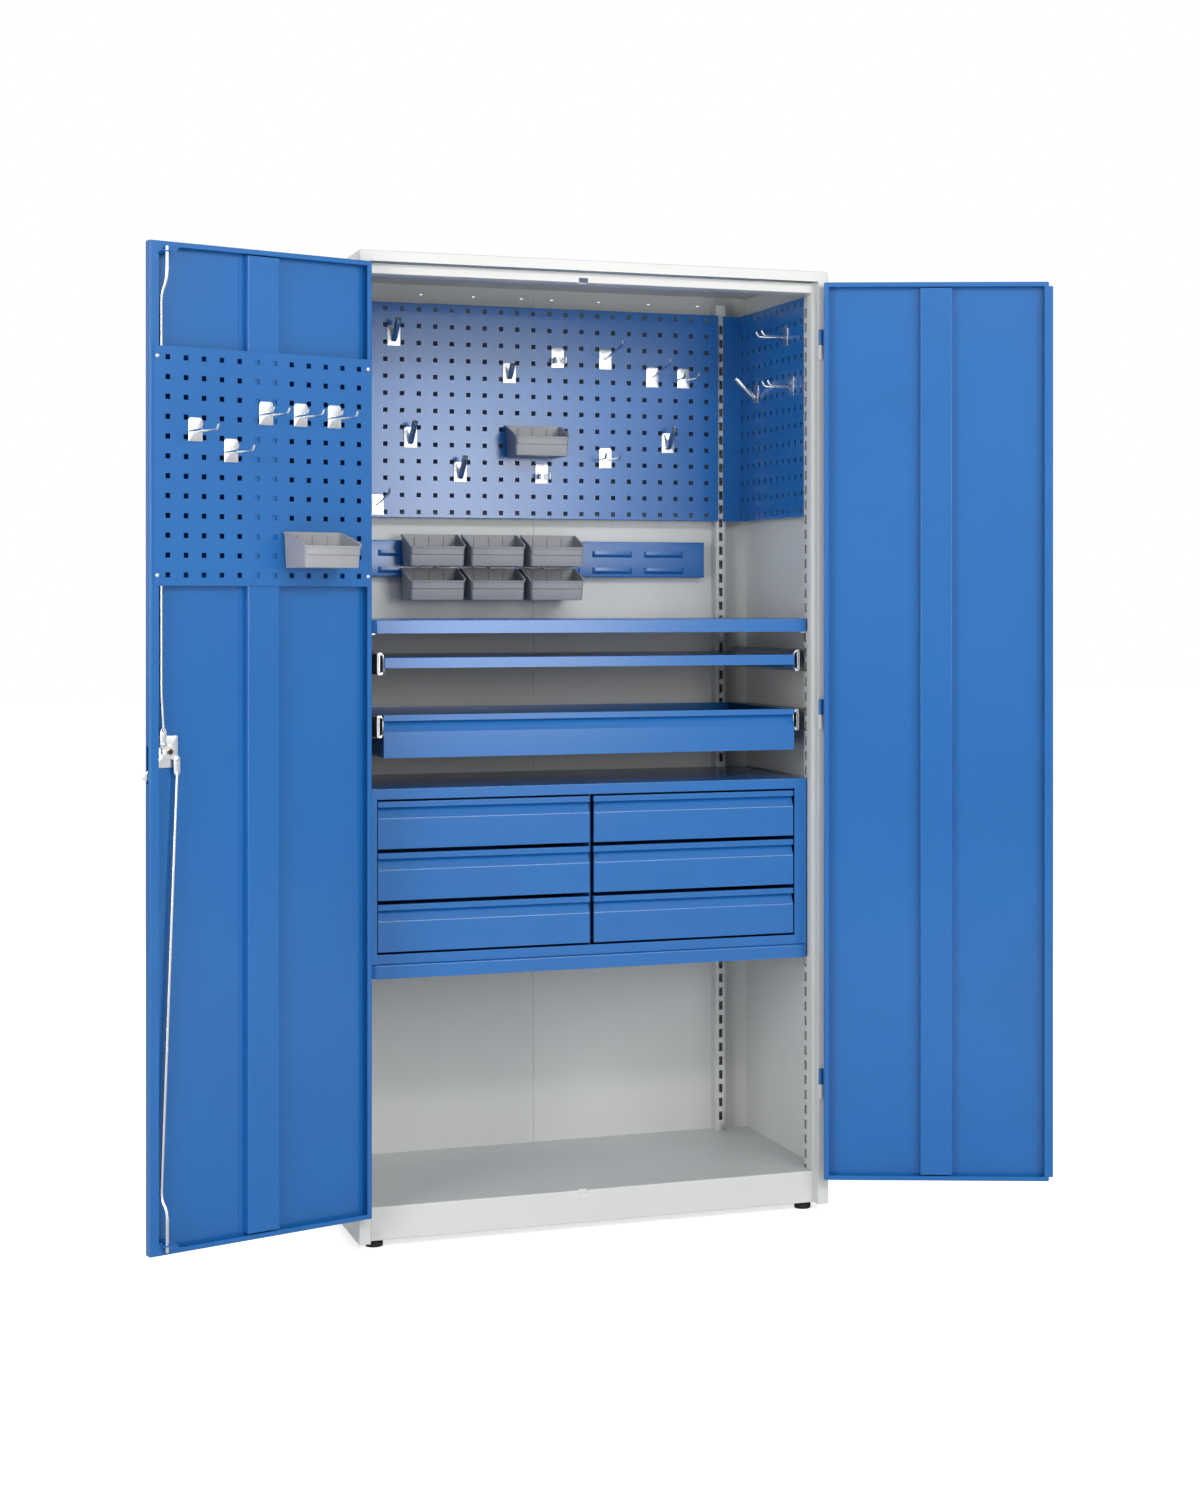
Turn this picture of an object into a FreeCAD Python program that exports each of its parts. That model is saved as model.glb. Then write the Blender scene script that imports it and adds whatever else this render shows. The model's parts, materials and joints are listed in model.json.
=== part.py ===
import FreeCAD, Part
import math
import os
import re
import Sketcher
from FreeCAD import Rotation, Vector

# A steel tool cabinet with two hinged doors, perforated panels, shelves and drawers.
# Lengths are millimetres, angles are degrees. X runs to the right, Y to the back, Z up.
# Every piece is drawn with the front plane at Y = 0 and the doors closed. The doors are
# then swung to their resting angle, and the whole part is moved back by origin_setback.

# Driving sizes
sizes = {
    # carcass
    "cabinet_width": 1030,
    "cabinet_depth": 520,
    "body_height": 2030,
    "foot_height": 16,
    "wall_sheet": 1.5,
    "origin_setback": 154,
    # folded front posts
    "post_face": 24,
    "door_recess": 22,
    "post_step": 6,
    "post_inner": 48,
    "post_flange": 12,
    "rear_flange": 47,
    # slots for hanging shelves
    "slot_setback": 31,
    "slot_width": 13,
    "slot_height": 20,
    "slot_pitch": 32.4,
    "slot_end_margin": 24,
    "rear_slot_width": 9,
    "upright_inset": 34,
    "upright_width": 24,
    "upright_depth": 30,
    # cover, header and base
    "cover_height": 22,
    "header_height": 21.5,
    "header_depth": 40,
    "header_drop": 1.5,
    "base_height": 69,
    "base_return": 15,
    "base_notch": 2,
    "rod_slot_width": 20,
    "rod_slot_depth": 12,
    "header_notch": 10,
    "base_notch_depth": 6,
    # back wall
    "seam_offset": 12.5,
    "seam_gap": 5,
    "seam_tongue": 15,
    "wall_hole": 9,
    "wall_hole_drop": 20.5,
    "wall_hole_first": 36,
    "wall_hole_second": 149,
    "wall_hole_third": 270,
    "wall_hole_fourth": 391,
    # levelling feet
    "foot_diameter": 36,
    "foot_pad": 12,
    "foot_neck_diameter": 17,
    "foot_screw": 8,
    "foot_screw_length": 50,
    "foot_inset": 41,
    "foot_setback": 50,
    "foot_plate": 3,
    "foot_plate_rise": 9,
    "foot_plate_width": 30,
    "foot_plate_depth": 42,
    # doors
    "hinge_gap": 3.5,
    "meeting_gap": 3,
    "door_drop": 5,
    "door_lap": 10,
    "door_depth": 20,
    "door_sheet": 1.2,
    "door_lip": 10,
    "hinge_lip": 11,
    "left_free_lip": 18.5,
    "right_free_lip": 9,
    "gusset_width": 44,
    "gusset_height": 14,
    "stiffener_width": 70,
    "stiffener_flange": 12,
    "stiffener_gap": 3,
    "strip_hold": 10,
    "strip_reach": 8.5,
    "strip_joggle": 0.4,
    "left_rest_angle": 161.3,
    "right_rest_angle": 158.2,
    # hinges
    "pin_forward": 4.5,
    "pin_outward": 4,
    "pin_diameter": 5,
    "knuckle_diameter": 8.4,
    "pin_clearance": 0.05,
    "leaf_sheet": 1.2,
    "leaf_depth": 14,
    "leaf_plate": 13,
    "door_knuckle": 34,
    "post_knuckle": 31,
    "knuckle_clearance": 0.3,
    "lowest_hinge": 203,
    "hinge_spacing": 803.5,
    # perforated panels
    "panel_sheet": 1.5,
    "hole_side": 10,
    "hole_pitch": 38,
    "panel_lap": 2,
    "panel_margin": 20,
    "panel_end": 13,
    "panel_flange": 12,
    "panel_top_gap": 26,
    "side_panel_step": 2,
    "side_panel_front": 0.5,
    "side_panel_margin": 20,
    "side_panel_wing": 43,
    "door_panel_margin": 20,
    "door_panel_gap": 2,
    "door_panel_end": 21,
    "door_panel_top_gap": 201,
    "door_panel_edge": 7,
    "screw_head": 8,
    "screw_head_height": 2,
    "screw_shank": 4,
    "screw_length": 8,
    "screw_side": 8,
    "screw_end": 20,
    # louvred rail and bins
    "rail_height": 82,
    "rail_gap": 50,
    "rail_end_gap": 30,
    "louvre_width": 95,
    "louvre_pitch": 125,
    "louvre_offset": 15,
    "louvre_height": 14,
    "louvre_stand": 5,
    "louvre_low": 8,
    "louvre_high": 46,
    "bin_width": 134,
    "bin_depth": 92,
    "bin_height": 72,
    "bin_wall": 2,
    "bin_taper": 7,
    "bin_rim": 3,
    "bin_front": 44,
    "bin_band": 18,
    "bin_band_inset": 2,
    "bin_mouth": 34,
    "bin_mouth_low": 8,
    "bin_gap": 0.3,
    "bin_spacing": 137.5,
    "rail_bin_start": 329,
    "rail_bin_drop": 53,
    "rail_bin_rise": 76,
    "panel_bin_left": 89,
    "panel_bin_drop": 342,
    "door_bin_place": 72,
    "door_bin_drop": 424,
    # hooks
    "hook_plate_width": 30,
    "hook_plate_height": 46,
    "hook_plate_sheet": 2,
    "hook_corner": 6,
    "prong_diameter": 5,
    "long_prong": 130,
    "prong_rise": 20,
    "prong_tip": 12,
    "prong_spread": 22,
    "pair_prong": 58,
    "pair_drop": 26,
    "tube_diameter": 13,
    "tube_wall": 1.5,
    "tube_length": 62,
    "short_tube": 40,
    "tube_lean": 45,
    "clip_arm_sheet": 1.2,
    "clip_arm_width": 14,
    "clip_opening": 24,
    "clip_stand": 4,
    # shelves
    "shelf_gap": 1,
    "shelf_setback": 40,
    "shelf_lip": 28.5,
    "shelf_corner": 9,
    "shelf_back_gap": 1,
    "upper_shelf_top": 1290.5,
    "base_shelf_top": 578,
    "clip_reach": 14,
    "clip_height": 18,
    "clip_sheet": 2,
    "clip_width": 12,
    # slides
    "slide_height": 46,
    "slide_sheet": 1.5,
    "slide_width": 12.7,
    "slide_clearance": 0.3,
    "slide_member_drop": 1.8,
    "slide_inner_flange": 6,
    "slide_setback": 6,
    # pull-out shelf
    "pullout_top": 1212,
    "pullout_lip": 22,
    "pullout_side": 31,
    "pullout_setback": 44,
    "pullout_depth": 430,
    "pullout_slide_level": 1199,
    # wide drawer
    "wide_top": 1093,
    "wide_height": 89,
    "wide_setback": 48,
    "wide_depth": 426,
    "wide_slide_level": 1069,
    "drawer_sheet": 1.2,
    "grip_ledge": 12,
    "grip_depth": 12,
    "grip_recess": 23,
    "runner_room": 31,
    # drawer unit
    "unit_gap": 3,
    "unit_setback": 46,
    "unit_depth": 434,
    "unit_height": 363,
    "unit_frame": 28,
    "unit_narrow_frame": 13.5,
    "unit_head": 22,
    "unit_sill": 21,
    "unit_divider": 3,
    "drawer_setback": 2,
    "drawer_side_gap": 2,
    "drawer_middle_gap": 4.5,
    "drawer_pitch": 106.5,
    "drawer_height": 98,
    "drawer_depth": 420,
    "drawer_box_inset": 4,
    "drawer_box_rise": 8,
    "drawer_box_height": 76,
    "runner_sheet": 1.5,
    "runner_leg": 16,
    "runner_clearance": 0.3,
    # lock
    "lock_setback": 45,
    "lock_height": 964,
    "lock_case_width": 40,
    "lock_case_height": 62,
    "lock_case_depth": 5,
    "spindle_diameter": 10,
    "spindle_clearance": 0.05,
    "arm_gap": 0.8,
    "arm_sheet": 3,
    "arm_width": 14,
    "arm_reach": 73,
    "arm_rest_angle": 45,
    "cam_sheet": 2,
    "cam_hub": 15,
    "cam_radius": 20,
    "cam_lobe": 7,
    "hub_nut_diameter": 12,
    "hub_nut_height": 4,
    "arm_slot_above": 12,
    "arm_slot_below": 60,
    "arm_slot_width": 8,
    "escutcheon_width": 32,
    "escutcheon_height": 150,
    "escutcheon_depth": 8,
    "handle_length": 118,
    "handle_width": 22,
    "handle_depth": 14,
    "handle_boss": 30,
    "handle_stand": 10,
    "cylinder_diameter": 16,
    "cylinder_depth": 12,
    "keyway_width": 2,
    "keyway_height": 8,
    # lock rods
    "rod_diameter": 7,
    "rod_end_diameter": 8,
    "tab_sheet": 2,
    "tab_gap": 0.5,
    "tab_width": 13,
    "tab_length": 32,
    "rivet_diameter": 9,
    "rivet_height": 1.5,
    "rod_run_setback": 25.5,
    "rod_end_setback": 31.5,
    "rod_end_out": 8.5,
    "upper_jog": 103,
    "lower_jog": 88,
    "upper_jog_height": 27,
    "lower_jog_height": 18,
    "upper_rod_stop": 9.5,
    "lower_rod_stop": 6,
    "guide_sheet": 3,
    "guide_width": 20,
    "guide_drop": 2,
    "guide_clearance": 0.08,
    "guide_wall": 4,
    # one overrun serves all cuts
    "overrun": 5,
}

# Counts of repeated pieces
panel_rows = 13
door_panel_rows = 12
drawer_rows = 3
hinge_count = 3

doc = FreeCAD.newDocument("tool_cabinet")
sheet = doc.addObject("Spreadsheet::Sheet", "Sizes")
for line, (name, value) in enumerate(sizes.items(), start=1):
    sheet.set("A%d" % line, name)
    sheet.set("B%d" % line, str(value))
    sheet.setAlias("B%d" % line, name)
doc.recompute()


# Expressions
def bound(text):
    """Write an expression of size names as FreeCAD reads it."""
    def name(match):
        word = match.group(0)
        return "Sizes." + word if word in sizes else word
    return re.sub(r"[a-z][a-z_]*", name, str(text))


def number(text):
    """Work an expression of size names out."""
    return float(sheet.evalExpression(bound(text)))


def minus(text):
    return "-(%s)" % text


def fits(room, pitch):
    """How many copies at a pitch fit in a room between the first and the last."""
    return int(number(room) / number(pitch)) + 1


# Places that several pieces share, as expressions
half_width = "(cabinet_width / 2)"
wall_inner = "(cabinet_width / 2 - wall_sheet)"
post_in = "(cabinet_width / 2 - post_face)"
clear_half = "(cabinet_width / 2 - post_face - post_step)"
post_back = "(door_recess + post_inner)"
body_top = "(foot_height + body_height)"
wall_top = "(foot_height + body_height - cover_height)"
base_top = "(foot_height + base_height)"
back_front = "(cabinet_depth - 2 * wall_sheet)"
upright_front = "(cabinet_depth - 2 * wall_sheet - upright_depth)"
upright_outer = "(cabinet_width / 2 - post_face - post_step - upright_inset)"
header_top = "(%s - header_drop)" % wall_top
header_bottom = "(%s - header_height)" % header_top
door_low = "(%s - door_lap)" % base_top
door_high = "(%s - door_drop)" % wall_top
door_outer_edge = "(%s - hinge_gap)" % post_in
door_free_edge = "(meeting_gap / 2)"
lip_front = "(door_depth - door_sheet)"
pin_x = "(%s + pin_outward)" % post_in
panel_front = "(%s - panel_flange)" % upright_front
panel_top = "(%s - panel_top_gap)" % wall_top
first_row = "(%s - panel_end)" % panel_top
side_panel_face = "(%s + side_panel_step)" % clear_half
door_panel_high = "(%s - door_panel_top_gap)" % door_high
lock_z = "(%s + lock_height)" % door_low
lock_x = "(%s + lock_setback)" % door_free_edge
arm_front = "(door_sheet + lock_case_depth + arm_gap)"
cam_front = "(%s + arm_sheet)" % arm_front
tab_front = "(%s + cam_sheet + tab_gap)" % cam_front

# Perforated panels reach a little over what carries them, and their holes fill that width
panel_reach = "(%s - upright_width + panel_lap)" % upright_outer
panel_columns = fits("2 * (%s - panel_margin)" % panel_reach, "hole_pitch")
panel_low = "(%s - 2 * panel_end - (%d) * hole_pitch)" % (panel_top, panel_rows - 1)
side_panel_columns = fits("%s - panel_sheet - %s - side_panel_front - side_panel_margin - hole_side"
                          % (upright_front, post_back), "hole_pitch")
rail_bottom = "(%s - rail_gap - rail_height)" % panel_low
rail_reach = "(%s - upright_width - rail_end_gap)" % upright_outer
louvre_count = fits("2 * (%s - louvre_offset) - louvre_width" % rail_reach, "louvre_pitch")
door_panel_left = "(door_panel_gap - %s)" % door_outer_edge
door_panel_right = "(-%s - door_panel_edge)" % door_free_edge
door_panel_columns = fits("%s - %s - 2 * door_panel_margin" % (door_panel_right, door_panel_left), "hole_pitch")
door_panel_first = "((%s + %s - (%d) * hole_pitch) / 2)" % (
    door_panel_left, door_panel_right, door_panel_columns - 1)
door_panel_low = "(%s - 2 * door_panel_end - (%d) * hole_pitch)" % (door_panel_high, door_panel_rows - 1)
panel_screw_x = ("(%s + screw_side)" % door_panel_left, "(%s - screw_side)" % door_panel_right)
panel_screw_z = ("(%s + screw_end)" % door_panel_low, "(%s - screw_end)" % door_panel_high)
panel_screw_holes = [((x, z), "screw_shank + 2 * pin_clearance") for x in panel_screw_x for z in panel_screw_z]

nodes = {}
made = [0]


def fresh(prefix):
    made[0] += 1
    return "%s_%03d" % (prefix, made[0])


# Feature helpers
def new_body(name):
    body = doc.addObject("PartDesign::Body", name)
    body.Label = name
    return body


def origin_plane(body, role):
    return next(f for f in body.Origin.OriginFeatures if f.Role == role + "_Plane")


def new_sketch(body, role, level):
    """A sketch on an origin plane, moved along the axis across it to a level."""
    sketch = body.newObject("Sketcher::SketchObject", fresh("outline"))
    sketch.AttachmentSupport = [(origin_plane(body, role), "")]
    sketch.MapMode = "FlatFace"
    across = minus(level) if role == "XZ" else level
    sketch.setExpression("AttachmentOffset.Base.z", bound(across))
    return sketch


def fix_point(sketch, line, place):
    for kind, axis, text in (("DistanceX", -2, place[0]), ("DistanceY", -1, place[1])):
        if abs(number(text)) < 1e-9:
            sketch.addConstraint(Sketcher.Constraint("PointOnObject", line, 1, axis))
            continue
        index = sketch.addConstraint(Sketcher.Constraint(kind, -1, 1, line, 1, number(text)))
        sketch.setExpression("Constraints[%d]" % index, bound(text))


def draw_outline(sketch, places):
    """A closed outline of straight lines through named places."""
    first = sketch.GeometryCount
    total = len(places)
    corners = [Vector(number(u), number(v), 0) for u, v in places]
    for i in range(total):
        sketch.addGeometry(Part.LineSegment(corners[i], corners[(i + 1) % total]), False)
    for i in range(total):
        following = first + (i + 1) % total
        sketch.addConstraint(Sketcher.Constraint("Coincident", first + i, 2, following, 1))
    for i in range(total):
        fix_point(sketch, first + i, places[i])


def draw_circle(sketch, place, diameter):
    center = Vector(number(place[0]), number(place[1]), 0)
    circle = sketch.addGeometry(Part.Circle(center, Vector(0, 0, 1), number(diameter) / 2), False)
    for kind, axis, text in (("DistanceX", -2, place[0]), ("DistanceY", -1, place[1])):
        if abs(number(text)) < 1e-9:
            sketch.addConstraint(Sketcher.Constraint("PointOnObject", circle, 3, axis))
            continue
        index = sketch.addConstraint(Sketcher.Constraint(kind, -1, 1, circle, 3, number(text)))
        sketch.setExpression("Constraints[%d]" % index, bound(text))
    index = sketch.addConstraint(Sketcher.Constraint("Diameter", circle, number(diameter)))
    sketch.setExpression("Constraints[%d]" % index, bound(diameter))


def rectangle(u_low, u_high, v_low, v_high):
    return [(u_low, v_low), (u_high, v_low), (u_high, v_high), (u_low, v_high)]


def pad(body, role, outlines, low, high):
    """Material between two levels along the axis across the plane."""
    sketch = new_sketch(body, role, low)
    for outline in outlines:
        draw_outline(sketch, outline)
    feature = body.newObject("PartDesign::Pad", fresh("pad"))
    feature.Profile = sketch
    feature.setExpression("Length", bound("%s - (%s)" % (high, low)))
    feature.Reversed = role == "XZ"
    doc.recompute()
    return feature


def pocket(body, role, outlines, low, high, circles=()):
    """A cut between two levels along the axis across the plane."""
    before = body.Shape.Volume
    sketch = new_sketch(body, role, low)
    for outline in outlines:
        draw_outline(sketch, outline)
    for place, diameter in circles:
        draw_circle(sketch, place, diameter)
    feature = body.newObject("PartDesign::Pocket", fresh("pocket"))
    feature.Profile = sketch
    feature.setExpression("Length", bound("%s - (%s)" % (high, low)))
    feature.Reversed = role != "XZ"
    doc.recompute()
    if body.Shape.Volume >= before:
        raise RuntimeError("a pocket of %s cut nothing" % body.Label)
    return feature


def repeat(body, feature, axis, pitch, count, second=None):
    """Copies of a feature along one or two axes of its sketch."""
    pattern = body.newObject("PartDesign::LinearPattern", fresh("pattern"))
    pattern.Originals = [feature]
    sketch = feature.Profile[0]
    pattern.Direction = (sketch, [axis])
    pattern.setExpression("Length", bound("(%s) * (%d)" % (pitch, count - 1)))
    pattern.Occurrences = count
    if second:
        axis_two, pitch_two, count_two = second
        pattern.Direction2 = (sketch, [axis_two])
        pattern.setExpression("Length2", bound("(%s) * (%d)" % (pitch_two, count_two - 1)))
        pattern.Occurrences2 = count_two
    body.Tip = pattern
    doc.recompute()
    return pattern


def box(x_low, x_high, y_low, y_high, z_low, z_high):
    """A plain block between named places."""
    block = doc.addObject("Part::Box", fresh("block"))
    for axis, side, low, high in (
        ("x", "Length", x_low, x_high),
        ("y", "Width", y_low, y_high),
        ("z", "Height", z_low, z_high),
    ):
        block.setExpression("Placement.Base.%s" % axis, bound(low))
        block.setExpression(side, bound("%s - (%s)" % (high, low)))
    return block


turns = {
    "z": Rotation(),
    "y": Rotation(Vector(1, 0, 0), -90),
    "x": Rotation(Vector(0, 1, 0), 90),
}


def cylinder(axis, x, y, z, diameter, length):
    """A round bar that starts at a place and runs along +X, +Y or +Z."""
    bar = doc.addObject("Part::Cylinder", fresh("bar"))
    bar.Placement.Rotation = turns[axis]
    bar.setExpression("Radius", bound("(%s) / 2" % diameter))
    bar.setExpression("Height", bound(length))
    for name, text in (("x", x), ("y", y), ("z", z)):
        bar.setExpression("Placement.Base.%s" % name, bound(text))
    return bar


def fuse(*shapes):
    whole = doc.addObject("Part::MultiFuse", fresh("fusion"))
    whole.Shapes = list(shapes)
    whole.Refine = True
    return whole


def cut(base, *tools):
    result = base
    for tool in tools:
        step = doc.addObject("Part::Cut", fresh("cut"))
        step.Base = result
        step.Tool = tool
        result = step
    return result


def group(*shapes):
    """Separate solids that share one node."""
    whole = doc.addObject("Part::Compound", fresh("group"))
    whole.Links = list(shapes)
    return whole


def mirrored(shape):
    """The same piece on the other side of the cabinet's middle plane."""
    twin = doc.addObject("Part::Mirroring", fresh("mirror"))
    twin.Source = shape
    twin.Normal = Vector(1, 0, 0)
    twin.Base = Vector(0, 0, 0)
    return twin


# Where each piece goes once it is drawn
def keep(label, piece, swing=None):
    """Name a finished piece and give it its place: swing is None, left or right."""
    piece.Label = label
    if swing is None:
        piece.setExpression("Placement.Base.y", bound("-origin_setback"))
        nodes[label] = piece
        return piece
    sign = "-1" if swing == "left" else "1"
    angle = "(%s * %s_rest_angle)" % (sign, swing)
    hinge_x = minus(pin_x) if swing == "left" else pin_x
    hinge_y = "(-pin_forward)"
    base_x = "%s - (%s) * cos(%s) + %s * sin(%s)" % (hinge_x, hinge_x, angle, hinge_y, angle)
    base_y = "%s - (%s) * sin(%s) - %s * cos(%s) - origin_setback" % (
        hinge_y, hinge_x, angle, hinge_y, angle)
    piece.Placement.Rotation = Rotation(Vector(0, 0, 1), number(angle))
    piece.setExpression("Placement.Rotation.Angle", bound(angle))
    piece.setExpression("Placement.Base.x", bound(base_x))
    piece.setExpression("Placement.Base.y", bound(base_y))
    nodes[label] = piece
    return piece


# Carcass
def side_outline(sign):
    """The folded side wall and front post, seen from above."""
    def x(text):
        return "%s * (%s)" % (sign, text)
    thick = "wall_sheet"
    return [
        (x("%s - rear_flange" % half_width), "cabinet_depth"),
        (x(half_width), "cabinet_depth"),
        (x(half_width), "0"),
        (x(post_in), "0"),
        (x(post_in), "door_recess"),
        (x(clear_half), "door_recess"),
        (x(clear_half), post_back),
        (x("%s + post_flange" % clear_half), post_back),
        (x("%s + post_flange" % clear_half), "%s - %s" % (post_back, thick)),
        (x("%s + %s" % (clear_half, thick)), "%s - %s" % (post_back, thick)),
        (x("%s + %s" % (clear_half, thick)), "door_recess + %s" % thick),
        (x("%s + %s" % (post_in, thick)), "door_recess + %s" % thick),
        (x("%s + %s" % (post_in, thick)), thick),
        (x(wall_inner), thick),
        (x(wall_inner), "cabinet_depth - %s" % thick),
        (x("%s - rear_flange" % half_width), "cabinet_depth - %s" % thick),
    ]


def slot_count():
    room = number("body_height - cover_height - 2 * slot_end_margin - slot_height")
    return int(room / number("slot_pitch")) + 1


def make_side(label, sign):
    body = new_body(label)
    pad(body, "XY", [side_outline(sign)], "foot_height", wall_top)
    low = "foot_height + slot_end_margin"
    front = "door_recess + slot_setback"
    hole = rectangle(front, "%s + slot_width" % front, low, "%s + slot_height" % low)
    inner = "%s - overrun" % clear_half
    outer = "%s + wall_sheet + overrun" % clear_half
    ends = (inner, outer) if sign == "1" else (minus(outer), minus(inner))
    slot = pocket(body, "YZ", [hole], ends[0], ends[1])
    repeat(body, slot, "V_Axis", "slot_pitch", slot_count())
    keep(label, body)


def make_upright(label, sign):
    """A slotted channel that stands on the back wall."""
    def x(text):
        return "%s * (%s)" % (sign, text)
    body = new_body(label)
    inner_edge = "%s - upright_width" % upright_outer
    channel = [
        (x(inner_edge), upright_front),
        (x(upright_outer), upright_front),
        (x(upright_outer), back_front),
        (x("%s - wall_sheet" % upright_outer), back_front),
        (x("%s - wall_sheet" % upright_outer), "%s + wall_sheet" % upright_front),
        (x("%s + wall_sheet" % inner_edge), "%s + wall_sheet" % upright_front),
        (x("%s + wall_sheet" % inner_edge), back_front),
        (x(inner_edge), back_front),
    ]
    pad(body, "XY", [channel], base_top, wall_top)
    low = "%s + slot_end_margin" % base_top
    near = "%s - (upright_width - rear_slot_width) / 2" % upright_outer
    far = "%s - rear_slot_width" % near
    hole = rectangle(x(near), x(far), low, "%s + slot_height" % low)
    slot = pocket(body, "XZ", [hole], "%s - overrun" % upright_front,
                  "%s + wall_sheet + overrun" % upright_front)
    room = number("body_height - base_height - cover_height - 2 * slot_end_margin - slot_height")
    repeat(body, slot, "V_Axis", "slot_pitch", int(room / number("slot_pitch")) + 1)
    keep(label, body)


def make_back():
    """Two back sheets. The right one has a tongue behind the left one."""
    wall_holes = ("wall_hole_first", "wall_hole_second", "wall_hole_third", "wall_hole_fourth")
    hole_z = "%s - wall_hole_drop" % body_top
    high = "%s - wall_sheet" % body_top
    cut_low = "%s - overrun" % back_front
    cut_high = "%s + wall_sheet + overrun" % back_front
    left = new_body("back_sheet_left")
    pad(left, "XZ", [rectangle(minus(wall_inner), "-seam_offset", "foot_height", high)],
        back_front, "%s + wall_sheet" % back_front)
    pocket(left, "XZ", [], cut_low, cut_high,
           [((minus(hole), hole_z), "wall_hole") for hole in wall_holes])
    keep("back_sheet_left", left)
    right = new_body("back_sheet_right")
    pad(right, "XZ", [rectangle("seam_gap - seam_offset", wall_inner, "foot_height", high)],
        back_front, "%s + wall_sheet" % back_front)
    tongue_edge = "-seam_offset - seam_tongue"
    pad(right, "XZ", [rectangle(tongue_edge, "2 * seam_gap - seam_offset", "foot_height", wall_top)],
        "%s + wall_sheet" % back_front, "cabinet_depth")
    pocket(right, "XZ", [], cut_low, cut_high,
           [((hole, hole_z), "wall_hole") for hole in wall_holes])
    keep("back_sheet_right", right)


def make_cover():
    body = new_body("top_cover")
    outer = rectangle(minus(half_width), half_width, "0", "cabinet_depth")
    inner = rectangle(minus(wall_inner), wall_inner, "wall_sheet", "cabinet_depth - wall_sheet")
    pad(body, "XY", [outer], wall_top, body_top)
    pocket(body, "XY", [inner], "%s - overrun" % wall_top, "%s - wall_sheet" % body_top)
    keep("top_cover", body)


def rod_slot(sign):
    """The slot that a lock rod drops into, behind a fold at the door recess."""
    middle = "-(%s + rod_end_setback)" % door_free_edge
    return rectangle("%s - rod_slot_width / 2" % middle, "%s + rod_slot_width / 2" % middle,
                     "door_recess - overrun", "door_recess + rod_slot_depth")


def make_header():
    body = new_body("header_rail")
    front = "door_recess"
    back = "door_recess + header_depth"
    web_back = "door_recess + wall_sheet"
    channel = [
        (front, header_bottom),
        (back, header_bottom),
        (back, "%s + wall_sheet" % header_bottom),
        (web_back, "%s + wall_sheet" % header_bottom),
        (web_back, "%s - wall_sheet" % header_top),
        (back, "%s - wall_sheet" % header_top),
        (back, header_top),
        (front, header_top),
    ]
    pad(body, "YZ", [channel], minus(clear_half), clear_half)
    pocket(body, "XY", [rod_slot("1")], "%s - overrun" % header_bottom,
           "%s + header_notch" % header_bottom)
    keep("header_rail", body)


def make_base():
    """The floor, with its front folded down as the plinth."""
    body = new_body("base_pan")
    notch = "%s + base_notch" % post_back
    floor = [
        (minus(clear_half), "door_recess"),
        (clear_half, "door_recess"),
        (clear_half, notch),
        (wall_inner, notch),
        (wall_inner, back_front),
        (minus(wall_inner), back_front),
        (minus(wall_inner), notch),
        (minus(clear_half), notch),
    ]
    front = "door_recess"
    under = "%s - wall_sheet" % base_top
    pad(body, "XY", [floor], under, base_top)
    plinth = [
        (front, "foot_height"),
        ("door_recess + base_return", "foot_height"),
        ("door_recess + base_return", "foot_height + wall_sheet"),
        ("door_recess + wall_sheet", "foot_height + wall_sheet"),
        ("door_recess + wall_sheet", base_top),
        (front, base_top),
    ]
    pad(body, "YZ", [plinth], minus(clear_half), clear_half)
    pocket(body, "XY", [rod_slot("1")], "%s - base_notch_depth" % base_top,
           "%s + overrun" % base_top)
    keep("base_pan", body)


def make_feet():
    """Four levelling feet: rubber pads, screws with a lock nut, and the plates they hang in."""
    pads, screws, plates = [], [], []
    rear = "cabinet_depth - foot_setback"
    x = "%s - foot_inset" % half_width
    for sign in ("-1", "1"):
        foot_x = "%s * (%s)" % (sign, x)
        for foot_y, reach in (("foot_setback", clear_half), (rear, wall_inner)):
            disc = cylinder("z", foot_x, foot_y, "0", "foot_diameter", "foot_pad")
            neck = cylinder("z", foot_x, foot_y, "0", "foot_neck_diameter", "foot_height")
            pads.append(fuse(disc, neck))
            shaft = cylinder("z", foot_x, foot_y, "foot_height", "foot_screw", "foot_screw_length")
            nut = cylinder("z", foot_x, foot_y, "foot_height", "foot_neck_diameter", "foot_plate_rise")
            screws.append(fuse(shaft, nut))
            low, high = "%s - foot_plate_width / 2" % x, reach
            edges = (low, high) if sign == "1" else (minus(high), minus(low))
            level = "foot_height + foot_plate_rise"
            plate = box(edges[0], edges[1], "%s - foot_plate_depth / 2" % foot_y,
                        "%s + foot_plate_depth / 2" % foot_y, level, "%s + foot_plate" % level)
            hole = cylinder("z", foot_x, foot_y, "%s - overrun" % level, "foot_screw",
                            "foot_plate + 2 * overrun")
            plates.append(cut(plate, hole))
    keep("foot_pads", group(*pads))
    keep("foot_mounts", group(*(screws + plates)))


# Perforated panels
def square_at(u, v):
    half = "hole_side / 2"
    return rectangle("%s - %s" % (u, half), "%s + %s" % (u, half),
                     "%s - %s" % (v, half), "%s + %s" % (v, half))


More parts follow.
